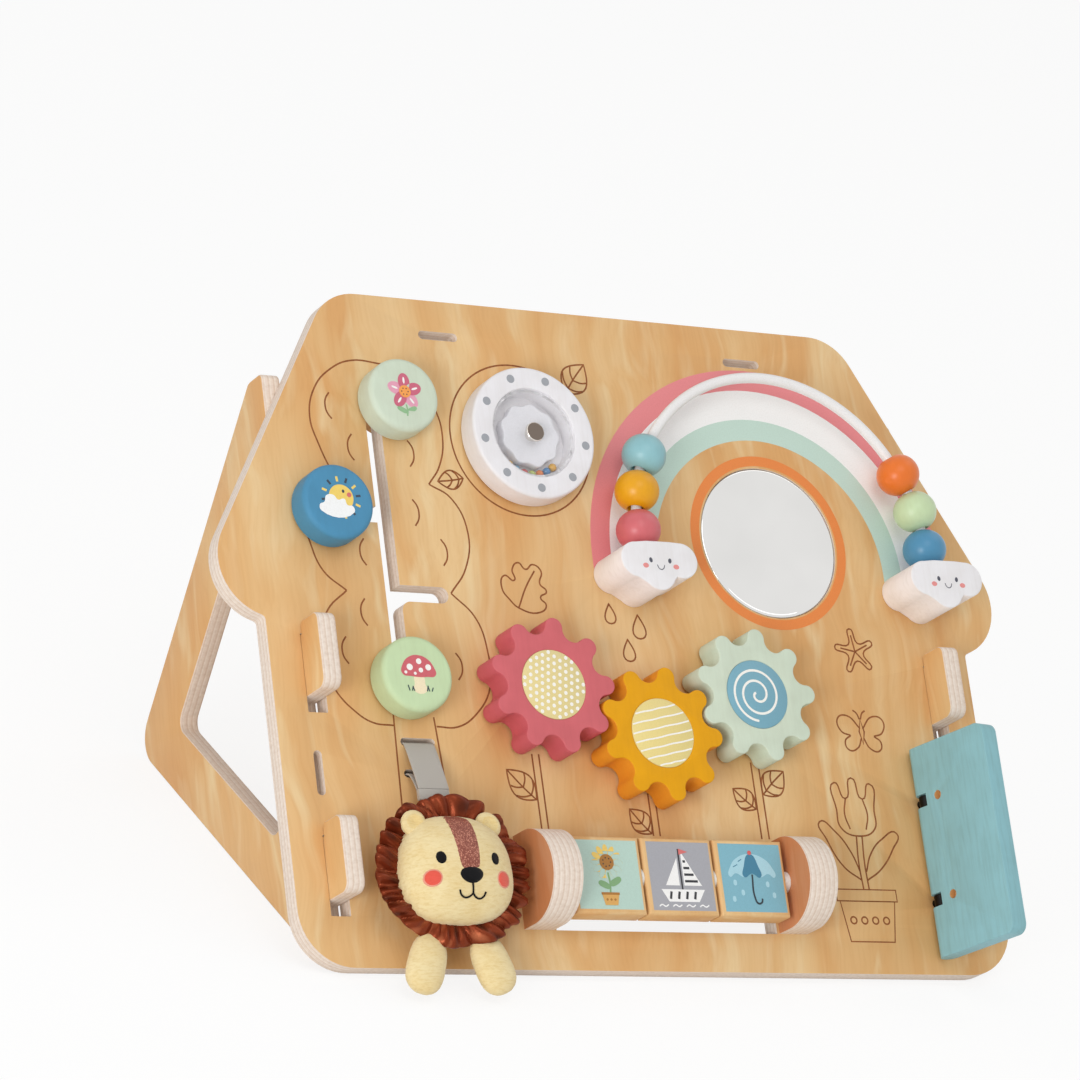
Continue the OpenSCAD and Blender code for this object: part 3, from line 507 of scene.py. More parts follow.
def veneer(name, tone="#FFFFFF", seed=0.0):
    """Rotary-cut poplar veneer under thin matt lacquer: wandering honey streaks, cream wisps, faint lines."""
    c = colours()
    material, tree = new_material(name, Roughness=0.45, Specular_IOR_Level=0.25)
    place = board_space(tree)
    swirl = {"Vector": place, "Scale": 16.0, "Detail": 2.0, "Roughness": 0.4}
    wander = node(tree, "TexNoise", swirl, out="Color")
    swayed = node(tree, "VectorMath", {0: wander, 1: (0.024, 0, 0.024), 2: place}, operation="MULTIPLY_ADD")

    def grain(across, along, roughness, distortion=0.0):
        """Streaks this wide and long in mm; the grain runs up the board."""
        scale = (1 / (across * MM), 1 / (along * MM), 1 / (across * MM))
        spot = node(tree, "Mapping", {"Vector": swayed, "Scale": scale, "Location": (seed, seed, seed)})
        settings = {"Scale": 1.0, "Detail": 2.0, "Roughness": roughness, "Distortion": distortion}
        return node(tree, "TexNoise", {"Vector": spot, **settings})

    streaks = [(0.32, c.dark_veneer), (0.5, c.honey), (0.68, c.pale_veneer)]
    tint = node(tree, "ValToRGB", {"Fac": grain(24, 150, 0.45, 0.5)}, streaks)
    wisps = {"From Min": 0.55, "From Max": 0.8, "To Min": 0.0, "To Max": 0.7}
    share = node(tree, "MapRange", {"Value": grain(9, 70, 0.4, 0.6), **wisps})
    colour = node(tree, "Mix", {0: share, 6: tint, 7: linear("#EAD3A6")}, out=2, data_type="RGBA")
    stain = {0: 1.0, 6: colour, 7: linear(tone)}
    colour = node(tree, "Mix", stain, out=2, data_type="RGBA", blend_type="MULTIPLY")
    return finish(material, colour, [(grain(1.3, 110, 0.5), 0.36, "#F7F1EA", 0.55, 0.4)], (0.00003, 0.25))


def ply_edge(name, axis, origin, thick):
    """Sawn and sanded plywood edge: plies a little apart in tone, with a thin light glue line between."""
    c = colours()
    material, tree = new_material(name, Roughness=0.6)
    along = node(tree, "SeparateXYZ", {"Vector": board_space(tree)}, out=axis)
    count = {0: along, 1: 0.5 / thick, 2: -0.5 * origin / thick}
    count = node(tree, "Math", count, operation="MULTIPLY_ADD")
    wobble = mottle(tree, 70, detail=3.0)
    bent = node(tree, "Math", {0: wobble, 1: 0.22, 2: count}, operation="MULTIPLY_ADD")
    saw = node(tree, "Math", {0: bent}, operation="FRACT")
    middle = tuple((a + b) / 2 for a, b in zip(c.pale_ply, c.dark_ply))
    stops = [(0.0, c.pale_ply), (0.1, middle), (0.42, c.dark_ply), (0.5, c.pale_ply), (0.6, c.pale_ply)]
    stripe = node(tree, "ValToRGB", {"Fac": saw}, stops + [(1.0, middle)])
    fibre = mottle(tree, 600, detail=3.0, roughness=0.6)
    return finish(material, stripe, [(fibre, 0.3, "#E9E1DA", 0.6, 0.6)], (0.00008, 0.4))


def paint(name, colour, roughness=0.5, grain=0.15, gloss=0.2):
    """Water-based enamel sprayed on sanded wood: even colour, soft sheen, a hint of grain showing through."""
    material, tree = new_material(name, Roughness=roughness, Specular_IOR_Level=gloss)
    fibre = mottle(tree, 700, 60, 700, detail=3.0)
    layers = [(fibre, 0.32, "#E8E4E0", 0.55, grain), (mottle(tree, 90), 0.3, "#F4F2F0", 0.7, 0.6)]
    return finish(material, colour, layers, (0.00004, 0.3 * grain + 0.08))


INKS = {}


def ink(code, roughness=0.5):
    """Screen-printing ink: opaque and flat, with the faint mottle of the mesh."""
    if code not in INKS:
        material, tree = new_material("ink_" + code.strip("#").lower(), Roughness=roughness)
        INKS[code] = finish(material, linear(code), [(mottle(tree, 1500), 0.3, "#EEECEA", 0.6, 0.35)])
    return INKS[code]


def scorched():
    """Laser-engraved line: the veneer burnt to a warm brown, uneven along the grain."""
    material, tree = new_material("laser_engraved_line", Roughness=0.8)
    browns = [(0.3, linear("#7A411C")), (0.7, linear("#9C5C2E"))]
    uneven = mottle(tree, 900, 160, 900, detail=3.0)
    feed_shader(tree, {"Base Color": node(tree, "ValToRGB", {"Fac": uneven}, browns)})
    return material


def metal(name, code, roughness):
    """Plated steel: bright, with fine turned scratches that widen the highlight."""
    material, tree = new_material(name, Metallic=1.0, Base_Color=linear(code))
    scratch = mottle(tree, 2500, 400, 2500, detail=3.0)
    spread = {"From Min": 0.3, "From Max": 0.7, "To Min": roughness * 0.7, "To Max": roughness * 1.3}
    feed_shader(tree, {"Roughness": node(tree, "MapRange", {"Value": scratch, **spread})})
    return material


def clear_plastic():
    """Clear polystyrene window: shows what is under it, with a glint at the edge."""
    gloss = {"Roughness": 0.04, "IOR": 1.59, "Specular_IOR_Level": 0.25}
    material, tree = new_material("clear_polystyrene", Alpha=0.05, **gloss)
    return finish(material, WHITE, [(mottle(tree, 80), 0.3, "#F2F5F8", 0.7, 1.0)])


def mirror_glass():
    """Acrylic safety mirror: aluminised back under a clear face, slightly soft."""
    material, tree = new_material("acrylic_mirror", Metallic=1.0, Roughness=0.03)
    haze = [(0.3, linear("#DDDCDA")), (0.7, linear("#E4E3E1"))]
    feed_shader(tree, {"Base Color": node(tree, "ValToRGB", {"Fac": mottle(tree, 25)}, haze)})
    return material


def moulded(name, code, roughness=0.35):
    """Injection-moulded ABS: even colour with a fine spark-eroded texture."""
    material, tree = new_material(name, Roughness=roughness)
    return finish(material, linear(code), [(mottle(tree, 2200), 0.3, "#F4F3F2", 0.6, 1.0)], (0.00003, 0.25))


def plush(name, colour):
    """Short-pile velour: matt, with a pale sheen at grazing angles and faint rows where the pile parts."""
    sheen = {"Sheen_Weight": 0.4, "Sheen_Roughness": 0.5, "Sheen_Tint": linear("#FFF8E4")}
    material, tree = new_material(name, Roughness=0.95, **sheen)
    rows = mottle(tree, 260, 1000, 520, detail=4.0, roughness=0.7)
    layers = [(rows, 0.3, "#F0E7D2", 0.55, 0.8), (mottle(tree, 110), 0.3, "#F8F1E2", 0.65, 0.8)]
    return finish(material, colour, layers, (0.0004, 0.4))


def satin_cloth(name, colour):
    """Polyester satin: its long floats throw soft highlights of the cloth's own colour, and its colour holds
    painted highlights on the crests of each fold and painted shade in the valleys.
    """
    sheen = {"Sheen_Weight": 0.1, "Sheen_Roughness": 0.3, "Sheen_Tint": linear("#D88A5A")}
    material, tree = new_material(name, Roughness=0.3, Metallic=0.3, Specular_Tint=linear("#E8A684"), **sheen)
    painted_light_fac = node(tree, "Attribute", out="Fac", attribute_name="painted_fold_light")
    # Painted light: the dark stop is painted shade in the fold valleys, the light stop painted highlights on
    # the crests.
    painted_fold_stops = [(0.12, linear("#4E1D10")), (0.42, colour), (0.66, colour), (0.9, linear("#A45A3C"))]
    tone = node(tree, "ValToRGB", {"Fac": painted_light_fac}, painted_fold_stops)
    return finish(material, tone, [(mottle(tree, 1800), 0.3, "#DDD0C8", 0.6, 0.5)], (0.00003, 0.3))


def ribbed(name, code, pitch=0.45):
    """Woven polyester ribbon: fine ribs across its width, with painted shade in the grooves between the
    threads.
    """
    material, tree = new_material(name, Roughness=0.75, Sheen_Weight=0.2)
    warp, weft = ribs(tree, 0, pitch), ribs(tree, 1, pitch)
    cross = node(tree, "Math", {0: warp, 1: weft}, operation="MULTIPLY")
    height = node(tree, "MapRange", {"Value": cross, "From Min": -1.0, "From Max": 1.0})
    return finish(material, linear(code), [(height, 0.1, "#CFCBC6", 0.8, 0.8)], (0.0001, 0.6))


def glitter_cloth(name, code):
    """Brown lame knit: a dull ground with tiny foil points that catch the light."""
    material, tree = new_material(name, Roughness=0.5)
    cells = node(tree, "TexVoronoi", {"Vector": board_space(tree, 2600), "Scale": 1.0}, out="Color")
    fleck = node(tree, "ValToRGB", {"Fac": cells}, [(0.62, (0, 0, 0, 1)), (0.72, WHITE)])
    foil = {0: fleck, 6: linear(code), 7: linear("#C58670")}
    bump = {"Height": cells.node.outputs["Distance"], "Distance": 0.00015, "Strength": 0.7}
    looks = {
        "Base Color": node(tree, "Mix", foil, out=2, data_type="RGBA"),
        "Metallic": node(tree, "Math", {0: fleck, 1: 0.5}, operation="MULTIPLY"),
        "Normal": node(tree, "Bump", bump),
    }
    feed_shader(tree, looks)
    return material


def embroidery(name, code, across=0.35):
    """Rayon satin stitch: parallel threads with a silky highlight, and painted shade in the grooves between
    them.
    """
    material, tree = new_material(name, Roughness=0.4, Sheen_Weight=0.04, Specular_IOR_Level=0.1)
    wave = ribs(tree, 1, across)
    height = node(tree, "MapRange", {"Value": wave, "From Min": -1.0, "From Max": 1.0})
    return finish(material, linear(code), [(height, 0.1, "#C8C0BC", 0.7, 0.7)], (0.00012, 0.6))


class Maker:
    """Shared base: an operator that can be undone and appears in the Busy Board panel."""

    bl_options = {"REGISTER", "UNDO"}


class BUSYBOARD_OT_stage(Maker, bpy.types.Operator):
    """Add the pale floor, the soft studio lamps and the camera"""

    bl_idname = "busy_board.stage"
    bl_label = "Stage"

    def execute(self, context):
        scene = context.scene
        scene.view_settings.view_transform = "Standard"
        data = bpy.data.cameras.new("camera")
        data.lens, data.sensor_width, data.clip_end = 154.586, 36.0, 20.0
        turn = [math.radians(a) for a in (70.3592, -14.6538, -27.3375)]
        scene.camera = self.hung("camera", data, (-1.098119, -1.617590, 0.826958), turn)

        scene.world = bpy.data.worlds.new("studio")
        tree, seen = self.empty_tree(scene.world)
        plain, white = (node(tree, "Background", {"Color": WHITE, "Strength": power}) for power in (0.6, 1.0))
        node(tree, "OutputWorld", {"Surface": node(tree, "MixShader", {0: seen, 1: plain, 2: white})})

        floor = start("floor", bpy.ops.mesh.primitive_plane_add, size=12)
        settle(floor, Matrix.Translation((0, 0, -0.0002)))
        material = bpy.data.materials.new("floor_paper")
        tree, seen = self.empty_tree(material)
        paper = node(tree, "BsdfDiffuse", {"Color": linear("#F4F4F3")})
        glow = node(tree, "Emission", {"Color": WHITE, "Strength": 1.04})
        share = node(tree, "Math", {0: seen, 1: 0.8}, operation="MULTIPLY")
        node(tree, "OutputMaterial", {"Surface": node(tree, "MixShader", {0: share, 1: paper, 2: glow})})
        wear(floor, material)

        lamps = (
            ("key_lamp", (-0.5, -1.1, 2.1), 1.3, 7.5),
            ("fill_lamp", (-1.8, -1.4, 0.45), 1.0, 20.5),
            ("top_lamp", (1.3, 0.3, 2.0), 1.4, 3.5),
        )
        for name, place, size, power in lamps:
            light = bpy.data.lights.new(name, "AREA")
            light.shape, light.size, light.energy = "DISK", size, power
            aim = Vector((0, 0, 0.1)) - Vector(place)
            self.hung(name, light, place, aim.to_track_quat("-Z", "Y").to_euler())
        return {"FINISHED"}

    @staticmethod
    def hung(name, data, place, turn):
        """Puts a camera or lamp in the scene."""
        made = bpy.data.objects.new(name, data)
        bpy.context.scene.collection.objects.link(made)
        made.location = place
        made.rotation_euler = turn
        return made

    @staticmethod
    def empty_tree(owner):
        """An empty node tree, and 1 for rays that show the background: straight, mirrored or refracted."""
        owner.use_nodes = True
        tree = owner.node_tree
        tree.nodes.clear()
        path = node(tree, "LightPath").node.outputs
        seen = {0: path["Is Camera Ray"], 1: path["Is Glossy Ray"]}
        seen = {0: node(tree, "Math", seen, operation="MAXIMUM"), 1: path["Is Transmission Ray"]}
        return tree, node(tree, "Math", seen, operation="MAXIMUM")


class BUSYBOARD_OT_board(Maker, bpy.types.Operator):
    """Add the plywood board and its two side legs, with softened edges and visible plies"""

    bl_idname = "busy_board.board"
    bl_label = "Board and Legs"

    def execute(self, context):
        s = sizes()
        woods = veneer("poplar_veneer"), ply_edge("plywood_edge", 2, 0.0, s.ply)
        dress("board", "board_panel", s.wood_edge, woods, second=lambda f: abs(f.normal.dot(NORMAL)) <= 0.8)
        wood = veneer("poplar_veneer_leg", seed=3.0)
        for side, sign in SIDES.items():
            leg = side + "_leg"
            left_face = (sign * LEG_MIDDLE - PLYWOOD / 2) * MM
            woods = wood, ply_edge("plywood_edge_" + leg, 0, left_face, s.ply)
            dress(leg, leg + "_frame", s.wood_edge, woods, second=side_face)
        return {"FINISHED"}


def traced(*outlines, closed=False, smooth=True):
    return [(points, closed, smooth) for points in outlines]


def leaf(x, y, long, wide, turn):
    """A pointed leaf with a midrib and side veins, growing from (x, y) at the turn given."""

    def edge(a):
        return 0.53 * wide * math.sin(math.pi * a**0.9) if 0 < a < 1 else 0.0

    steps = [i / 12 for i in range(13)]
    outline = [(a * long, edge(a)) for a in steps] + [(a * long, -edge(a)) for a in steps[-2:0:-1]]
    veins = [[(0, 0), (0.45 * long, 0.03 * wide), (0.97 * long, 0)]]
    for a in (0.16, 0.43):
        for side, b in ((1, a + 0.27), (-1, a + 0.2)):
            middle = ((a + 0.45 * (b - a)) * long, side * 0.62 * edge(b))
            veins.append([(a * long, 0.02 * wide), middle, (b * long, side * 0.97 * edge(b))])
    veins = traced(*(moved(points, x, y, turn) for points in veins))
    return traced(moved(outline, x, y, turn), closed=True, smooth=False) + veins


def drop(x, y, tall):
    """A raindrop, pointed at its top."""
    turns = [math.tau * i / 20 for i in range(20)]
    outline = [(0.42 * math.sin(t) * math.sin(t / 2) ** 1.4, 0.5 + 0.5 * math.cos(t)) for t in turns]
    return [(x + a * tall, y + b * tall) for a, b in outline]


def small_arc(x, y, bulge, half=6.25):
    """An upright arc that bulges sideways."""
    profile = ((0, 1), (0.8, 0.5), (1, 0), (0.8, -0.5), (0, -1))
    return [(x + a * bulge, y + b * half) for a, b in profile]


class BUSYBOARD_OT_engraving(Maker, bpy.types.Operator):
    """Add the laser-engraved line drawing: tree, leaves, stems, raindrops, butterfly and potted tulip"""

    bl_idname = "busy_board.engraving"
    bl_label = "Engraving"

    def execute(self, context):
        burnt, width = scorched(), sizes().line_w / MM
        strokes = self.tree() + self.small_things() + self.stems() + self.butterfly() + self.tulip()
        marks = [line(burnt, 0, points, width, closed, smooth) for points, closed, smooth in strokes]
        fit(draw("engraved_lines", marks, on_board()), "board")
        return {"FINISHED"}

    @staticmethod
    def tree():
        """A crown in three tiers, each side from its upper end to the cusp below, with a trunk and twigs."""
        strokes = traced(
            [(-143, 222), (-149, 237), (-152, 250), (-148, 264), (-139, 273.5), (-128, 278.5), (-112, 278)],
            [(-112, 278), (-97, 271), (-88, 259), (-85.5, 245), (-89, 231), (-95.5, 222)],
            [(-95.5, 222), (-85, 216), (-78.5, 200), (-82, 183), (-91, 171)],
            [(-143, 222), (-156, 212), (-161, 203), (-159, 191), (-154, 178), (-143.5, 169.5)],
            [(-143.5, 169.5), (-154, 160), (-158.5, 148), (-159, 135), (-155, 124), (-146, 114)]
            + [(-138, 109.4), (-128, 108.5)],
            [(-91, 171), (-80, 160), (-76, 145), (-77, 128), (-86, 115), (-96, 109), (-106.5, 108.8)],
            [(-127.5, 114), (-128, 95), (-128.5, 72)],
            [(-107.5, 113), (-106.3, 95), (-105, 74)],
        )
        left = ((-141, 256), (-132, 237), (-132, 188), (-135, 160), (-146.5, 142))
        right = ((-104, 236), (-105, 208), (-93, 190), (-92.5, 137))
        strokes += traced(*(small_arc(x, y, -2.6) for x, y in left))
        return strokes + traced(*(small_arc(x, y, 2.6) for x, y in right))

    @staticmethod
    def small_things():
        """The ring round the wheel with its leaves, a lobed leaf, raindrops and a five-pointed leaf."""
        lobes = [(-57, 166), (-46, 164.5), (-42.5, 168), (-45, 171.5), (-41.5, 174.5), (-44.5, 178)]
        lobes += [(-43, 184), (-47, 187), (-51, 184.5), (-54.5, 187.5), (-58, 184), (-57.5, 179)]
        lobes += [(-62.5, 181), (-64.5, 175), (-61, 169.5)]
        star, veins = [], []
        for a in range(98, 458, 72):
            star += [*moved([polar(11.2, a), polar(4.6, a + 36)], 122, 154)]
            veins.append(moved([(0, 0), polar(8, a)], 122, 154))
        strokes = traced(ellipse(-45, 246.6, 36.3, n=60), lobes, star, closed=True)
        strokes += traced([(-57, 166), (-52, 176), (-46.5, 184)])
        strokes += traced(*veins, smooth=False)
        drops = drop(-9.5, 161, 9.5), drop(5, 154.5, 11.5), drop(-2, 143.5, 10.5)
        strokes += traced(*drops, closed=True, smooth=False)
        return strokes + leaf(-17.5, 271.5, 19, 13, 52) + leaf(-77.5, 226, 13.5, 8.5, 190)

    @staticmethod
    def stems():
        """Flower stems under the gears, with their leaves."""
        strokes = traced(*([(x, 98), (x + 0.3, 62)] for x in (-60, -56.5, -2.5, 1, 55, 59)), smooth=False)
        strokes += leaf(-60.5, 77, 19, 11.5, 135) + leaf(-3, 63, 15, 10, 132)
        return strokes + leaf(54.5, 76, 14.5, 9.5, 140) + leaf(59.5, 83, 17, 11.5, 42)

    @staticmethod
    def butterfly():
        middle = 119
        half = (
            [(118.3, 116.5), (112, 122.5), (106.5, 121), (107.5, 115), (112.5, 113)],
            [(112.5, 113), (109, 110), (110.5, 106), (115.5, 107), (118.4, 112)],
            [(118.7, 121), (117.4, 124), (115.6, 125.3)],
        )
        other = ([(2 * middle - x, y) for x, y in points] for points in half)
        body = [(middle, 109), (117.6, 115), (middle, 121), (120.4, 115)]
        return traced(*half, *other) + traced(body, closed=True, smooth=False)

    @staticmethod
    def tulip():
        """A potted tulip with two broad leaves."""
        bloom = [(98.5, 77), (99.5, 68.5), (108.8, 64.8), (118.2, 68.5), (119.2, 77), (118.6, 90)]
        bloom += [(113.6, 82.5), (108.9, 92.5), (104.2, 82.5), (99.2, 90)]
        strokes = traced(
            [(107, 39.5), (106.4, 52), (107.3, 65)],
            [(110, 39.5), (109.6, 52), (110.4, 65)],
            [(104.2, 82.5), (102.6, 75), (104.5, 68)],
            [(113.6, 82.5), (115.2, 75), (113.3, 68)],
            [(106.6, 44), (98, 50), (90.5, 63), (88, 71), (96, 66.5), (103, 57), (106.5, 48)],
            [(110, 44), (118, 49), (126.5, 59), (130, 66.5), (121, 63.5), (113.5, 56), (110, 48)],
        )
        strokes += traced(bloom, *(ellipse(x, 25, 1.6, n=10) for x in (99, 105, 111, 117)), closed=True)
        pot = [(96, 15), (93, 34), (123, 34), (120, 15)]
        rim = [(91.5, 34), (91.5, 39.5), (124.5, 39.5), (124.5, 34)]
        return strokes + traced(pot, rim, closed=True, smooth=False)


def band(inner, outer, foot, n=48):
    """A rainbow band as a closed outline: a half ring that runs straight down to its feet."""
    x, y = RAINBOW
    out, back = arc(x, y, outer, 0, 180, n), arc(x, y, inner, 180, 0, n)
    return [(x + outer, foot)] + out + [(x - outer, foot), (x - inner, foot)] + back + [(x + inner, foot)]


class BUSYBOARD_OT_paint(Maker, bpy.types.Operator):
    """Add the painted rainbow, the orange ring and the safety mirror"""

    bl_idname = "busy_board.paint"
    bl_label = "Rainbow and Mirror"

    def execute(self, context):
        bands = (("#C2DACD", 62.4, 72.7, 181), ("#F5F4F2", 72.7, 87.2, 181), ("#E4878A", 87.2, 97.3, 184))
        marks = [fill(ink(code), 0, band(*measures), smooth=False) for code, *measures in bands]
        fit(draw("painted_rainbow", marks, on_board()), "board")
        ring = [(37.7, 0.0), (37.7, 0.06), (42.5, 0.06), (42.5, 0.0)]
        x, y = MIRROR
        fit(turned("painted_ring", ring, on_board(x + 0.1, y + 0.2), ink("#E6853C"), steps=128), "board")
        rim = arc(35.7, -0.9, 0.7, 12, 90, 4) + [(35.0, -0.2), (34.6, -0.32), (34.5, -0.32)]
        section = [(0, -2.0), (36.4, -2.0), (36.4, -0.75)] + rim + [(0, -0.32)]
        glass = turned("safety_mirror", section, on_board(x, y), mirror_glass(), steps=128)
        fit(glass, "board", "mirror")
        return {"FINISHED"}


class BUSYBOARD_OT_knobs(Maker, bpy.types.Operator):
    """Add the three sliding knobs with their printed motifs"""

    bl_idname = "busy_board.knobs"
    bl_label = "Sliding Knobs"

    def execute(self, context):
        c = colours()
        looks = {
            "top": (paint("mint_enamel", c.mint), self.flower()),
            "left": (paint("sea_blue_enamel", c.sea), self.sun()),
            "low": (paint("leaf_green_enamel", c.leaf), self.toadstool()),
        }
        section = (
            [(0, 6.5), (1.75, 6.5), (1.75, -9.3), (3.4, -9.3), (3.4, 0.5)]
            + arc(15.9, 2.0, 1.5, -90, 0, 4)
            + arc(14.8, KNOB_TOP - 2.6, 2.6, 0, 90, 7)
            + [(13.6, KNOB_TOP), (0, KNOB_TOP)]
        )
        for name, (x, y) in KNOBS.items():
            enamel, motif = looks[name]
            body = name + "_knob"
            fit(turned(body + "_block", section, on_board(x, y), enamel, steps=72), body, body)
            fit(draw(body + "_print", motif, on_board(x, y, KNOB_TOP)), body)
        return {"FINISHED"}

    @staticmethod
    def flower():
        """Five-petalled flower with two leaves."""
        green, pale = ink("#8FB98A"), ink("#F7F3F0")
        marks = []
        for i, turn in enumerate(range(90, 450, 72)):
            x, y = polar(4.6, turn)
            petal = ellipse(x, y + 1.2, 4.1, 2.9, turn)
            marks.append(fill(ink("#E39DB4"), 0, petal) if i % 2 else fill(ink("#C9617A"), 1, petal))
            marks.append(fill(pale, 2, ellipse(x * 1.15, y * 1.15 + 1.2, 1.6, 0.5, turn, 12)))
        marks.append(fill(ink("#F2A04C"), 3, ellipse(0, 1.2, 2.9)))
        marks += spots(ink("#7A3B3B"), 4, moved([polar(1.6, 60 * i) for i in range(6)], 0, 1.2), 0.32, 8)
        marks.append(line(green, 0, [(0, -5), (0.4, -8), (0, -10.4)], 0.8))
        blade = [(0, 0), (2.6, 1.3), (5.4, 0.4), (3, -1)]
        return marks + [fill(green, 1, moved(blade, 0.2, y, turn)) for y, turn in ((-8.4, 22), (-8.8, 150))]

    @staticmethod
    def sun():
        """Sun with dark-tipped rays behind a white cloud."""
        yellow, dark = ink("#F0D069"), ink("#2D3B4A")
        marks = []
        for i in range(12):
            ray = moved([polar(7.4, 30 * i + 8), polar(9.8, 30 * i + 8)], 1, 1.5)
            marks.append(line(yellow if i % 2 else dark, 0, ray, 1.1, smooth=False))
        puffs = [(-9.5, -5.2), (-10, -2.4), (-7.6, -1), (-6.4, 2), (-2.8, 2.4), (-0.8, 0.4), (2.4, 0.9)]
        puffs += [(3.6, -1.8), (6.4, -2.4), (6.6, -5.2)]
        marks += [fill(yellow, 1, ellipse(1, 1.5, 6)), fill(ink("#F4F5F5"), 2, puffs)]
        marks += [fill(dark, 3, ellipse(2.2, 4.4, 0.6, 0.8, n=12))]
        return marks + [fill(ink("#D66F6C"), 3, ellipse(5, 2.9, 1.1, n=14))]

    @staticmethod
    def toadstool():
        """Rose toadstool with white spots on a tuft of dark grass."""
        dark, white = ink("#2C4546"), ink("#F6F4EF")
        cap = [(-8.2, -0.4), (-7.4, 4), (-3.8, 7.4), (0.6, 8.2), (5, 6.6), (7.8, 3), (8.4, -0.6)]
        stem = [(-2.2, -1.4), (2.2, -1.4), (2.7, -5), (3.3, -8), (-3.2, -8), (-2.6, -5)]
        marks = [fill(ink("#F2E3BF"), 0, stem), fill(ink("#CC5F68"), 1, cap + [(4, -1.6), (-4, -1.5)])]
        flecks = [(-4.2, 2.6, 1.5), (0.6, 5.4, 1.3), (1.2, 1.4, 1.1), (5, 2.8, 1.4), (-1.8, -0.2, 0.7)]
        for x, y, r in flecks + [(-6.4, 0.2, 0.7)]:
            marks += spots(white, 2, [(x, y)], r, 16)
        for i, x in enumerate((-5.4, -4.2, -3, 3.2, 4.4, 5.6)):
            blade = [(x, -8.2), (x + (0.7 if i % 2 else -0.6), -5.6 - i % 3 * 0.4)]
            marks.append(line(dark, 2, blade, 0.55, smooth=False))
        return marks


class BUSYBOARD_OT_wheel(Maker, bpy.types.Operator):
    """Add the rattle wheel: white ring, grey spots of painted shade where its holes are, scalloped hub, clear
    window, beads and nickel cap
    """

    bl_idname = "busy_board.wheel"
    bl_label = "Rattle Wheel"

    def execute(self, context):
        x, y = WHEEL
        place = on_board(x, y)
        white = paint("white_enamel", linear("#EDEBEE"), roughness=0.4, gloss=0.35)
        section = (
            [(WHEEL_BORE, 0.6)]
            + arc(30.3, 1.8, 1.2, -90, 0, 4)
            + arc(29.9, WHEEL_TOP - 1.6, 1.6, 0, 90, 6)
            + arc(21.8, WHEEL_TOP - 0.6, 0.6, 90, 180, 3)
            + [(21.2, WHEEL_SHELF), (19.8, WHEEL_SHELF), (19.8, WHEEL_FLOOR), (WHEEL_BORE, WHEEL_FLOOR)]
        )
        fit(turned("wheel_ring_block", section, place, white, steps=144), "wheel", "wheel_ring")
        # Painted shade: flat grey spots on the ring's face, where the wheel's holes are, standing for the
        # shade inside them.
        dots = spots(ink("#9DA0A6"), 0, [polar(WHEEL_DOTS_R, 40 * i - 90) for i in range(9)], 2.0, 20)
        fit(draw("wheel_hole_painted_shade", dots, on_board(x, y, WHEEL_TOP)), "wheel")
        self.hub()

        section = [(WHEEL_BORE, WHEEL_SHELF), (21.1, WHEEL_SHELF), (21.1, WINDOW_TOP - 0.2)]
        section += [(20.9, WINDOW_TOP), (WHEEL_BORE, WINDOW_TOP)]
        window = turned("wheel_window_disc", section, place, clear_plastic(), steps=128)
        fit(window, "wheel", "wheel_window")

        tones = ("#E8B23A", "#7FB6D6", "#C9302C", "#B9C86A", "#E07A2E", "#3E7FB5", "#D9A22B")
        names = [f"rattle_bead_{i + 1}" for i in range(len(tones))]
        step = 2 * math.degrees(math.asin(4.1 / 2 / RATTLE_TRACK_R))
        first = soften(ball(names[0], 24, 14, RATTLE_R * MM))
        for i, (bead, tone) in enumerate(zip(twins(first, names), tones)):
            wear(bead, moulded("rattle_bead_" + tone.strip("#").lower(), tone, 0.2))
            a, b = polar(RATTLE_TRACK_R, (i - 3) * step - 90)
            settle(bead, on_board(x + a, y + b, WHEEL_FLOOR + 2.0))
            fit(bead, "wheel", "rattle_beads")

        end, top = WHEEL_AXLE_END, WHEEL_AXLE_TOP
        section = [(0, end), (2.7, end), (3.0, end + 0.3), (3.0, 12.4), (4.6, 12.4), (4.6, top - 0.65)]
        section += arc(3.95, top - 0.65, 0.65, 0, 80, 5) + [(3.9, top), (3.8, top), (0, top)]
        # Painted reflection: the cap's flat top is the same nickel darkened as if mirroring a dark room, and
        # its rounded rim is lightened as a painted highlight.
        face = metal("nickel_painted_dark_reflection", "#7A6E65", 0.16)
        rim = metal("nickel_painted_highlight", "#E6E1DA", 0.12)
        axle = turned("wheel_axle_pin", section, place, face, rim)
        fit(two_tone(axle, lambda f: f.normal.dot(NORMAL) < 0.9), "board", "wheel_axle")
        return {"FINISHED"}

    @staticmethod
    def hub():
        """A nine-lobed block with a shallow dish in its top."""
        rim = {"vertices": 180, "radius": 14.6 * MM, "fill_type": "NGON"}
        hub = start("wheel_hub_block", bpy.ops.mesh.primitive_circle_add, **rim)
        for vertex in hub.data.vertices:
            vertex.co *= 1 + 0.045 * math.cos(9 * math.atan2(vertex.co.y, vertex.co.x))
        edit(hub)
        bpy.ops.mesh.extrude_region_move(TRANSFORM_OT_translate={"value": (0, 0, 5.5 * MM)})
        bpy.ops.mesh.inset(thickness=2.2 * MM)
        bpy.ops.transform.translate(value=(0, 0, -0.3 * MM))
        bpy.ops.mesh.select_all(action="SELECT")
        bpy.ops.mesh.normals_make_consistent(inside=False)
        wear(soften(hub, 0.7 * MM, angle=50), moulded("grey_white_abs", "#E4E3E8"))
        fit(settle(hub, on_board(*WHEEL, WHEEL_FLOOR)), "wheel", "wheel_hub")


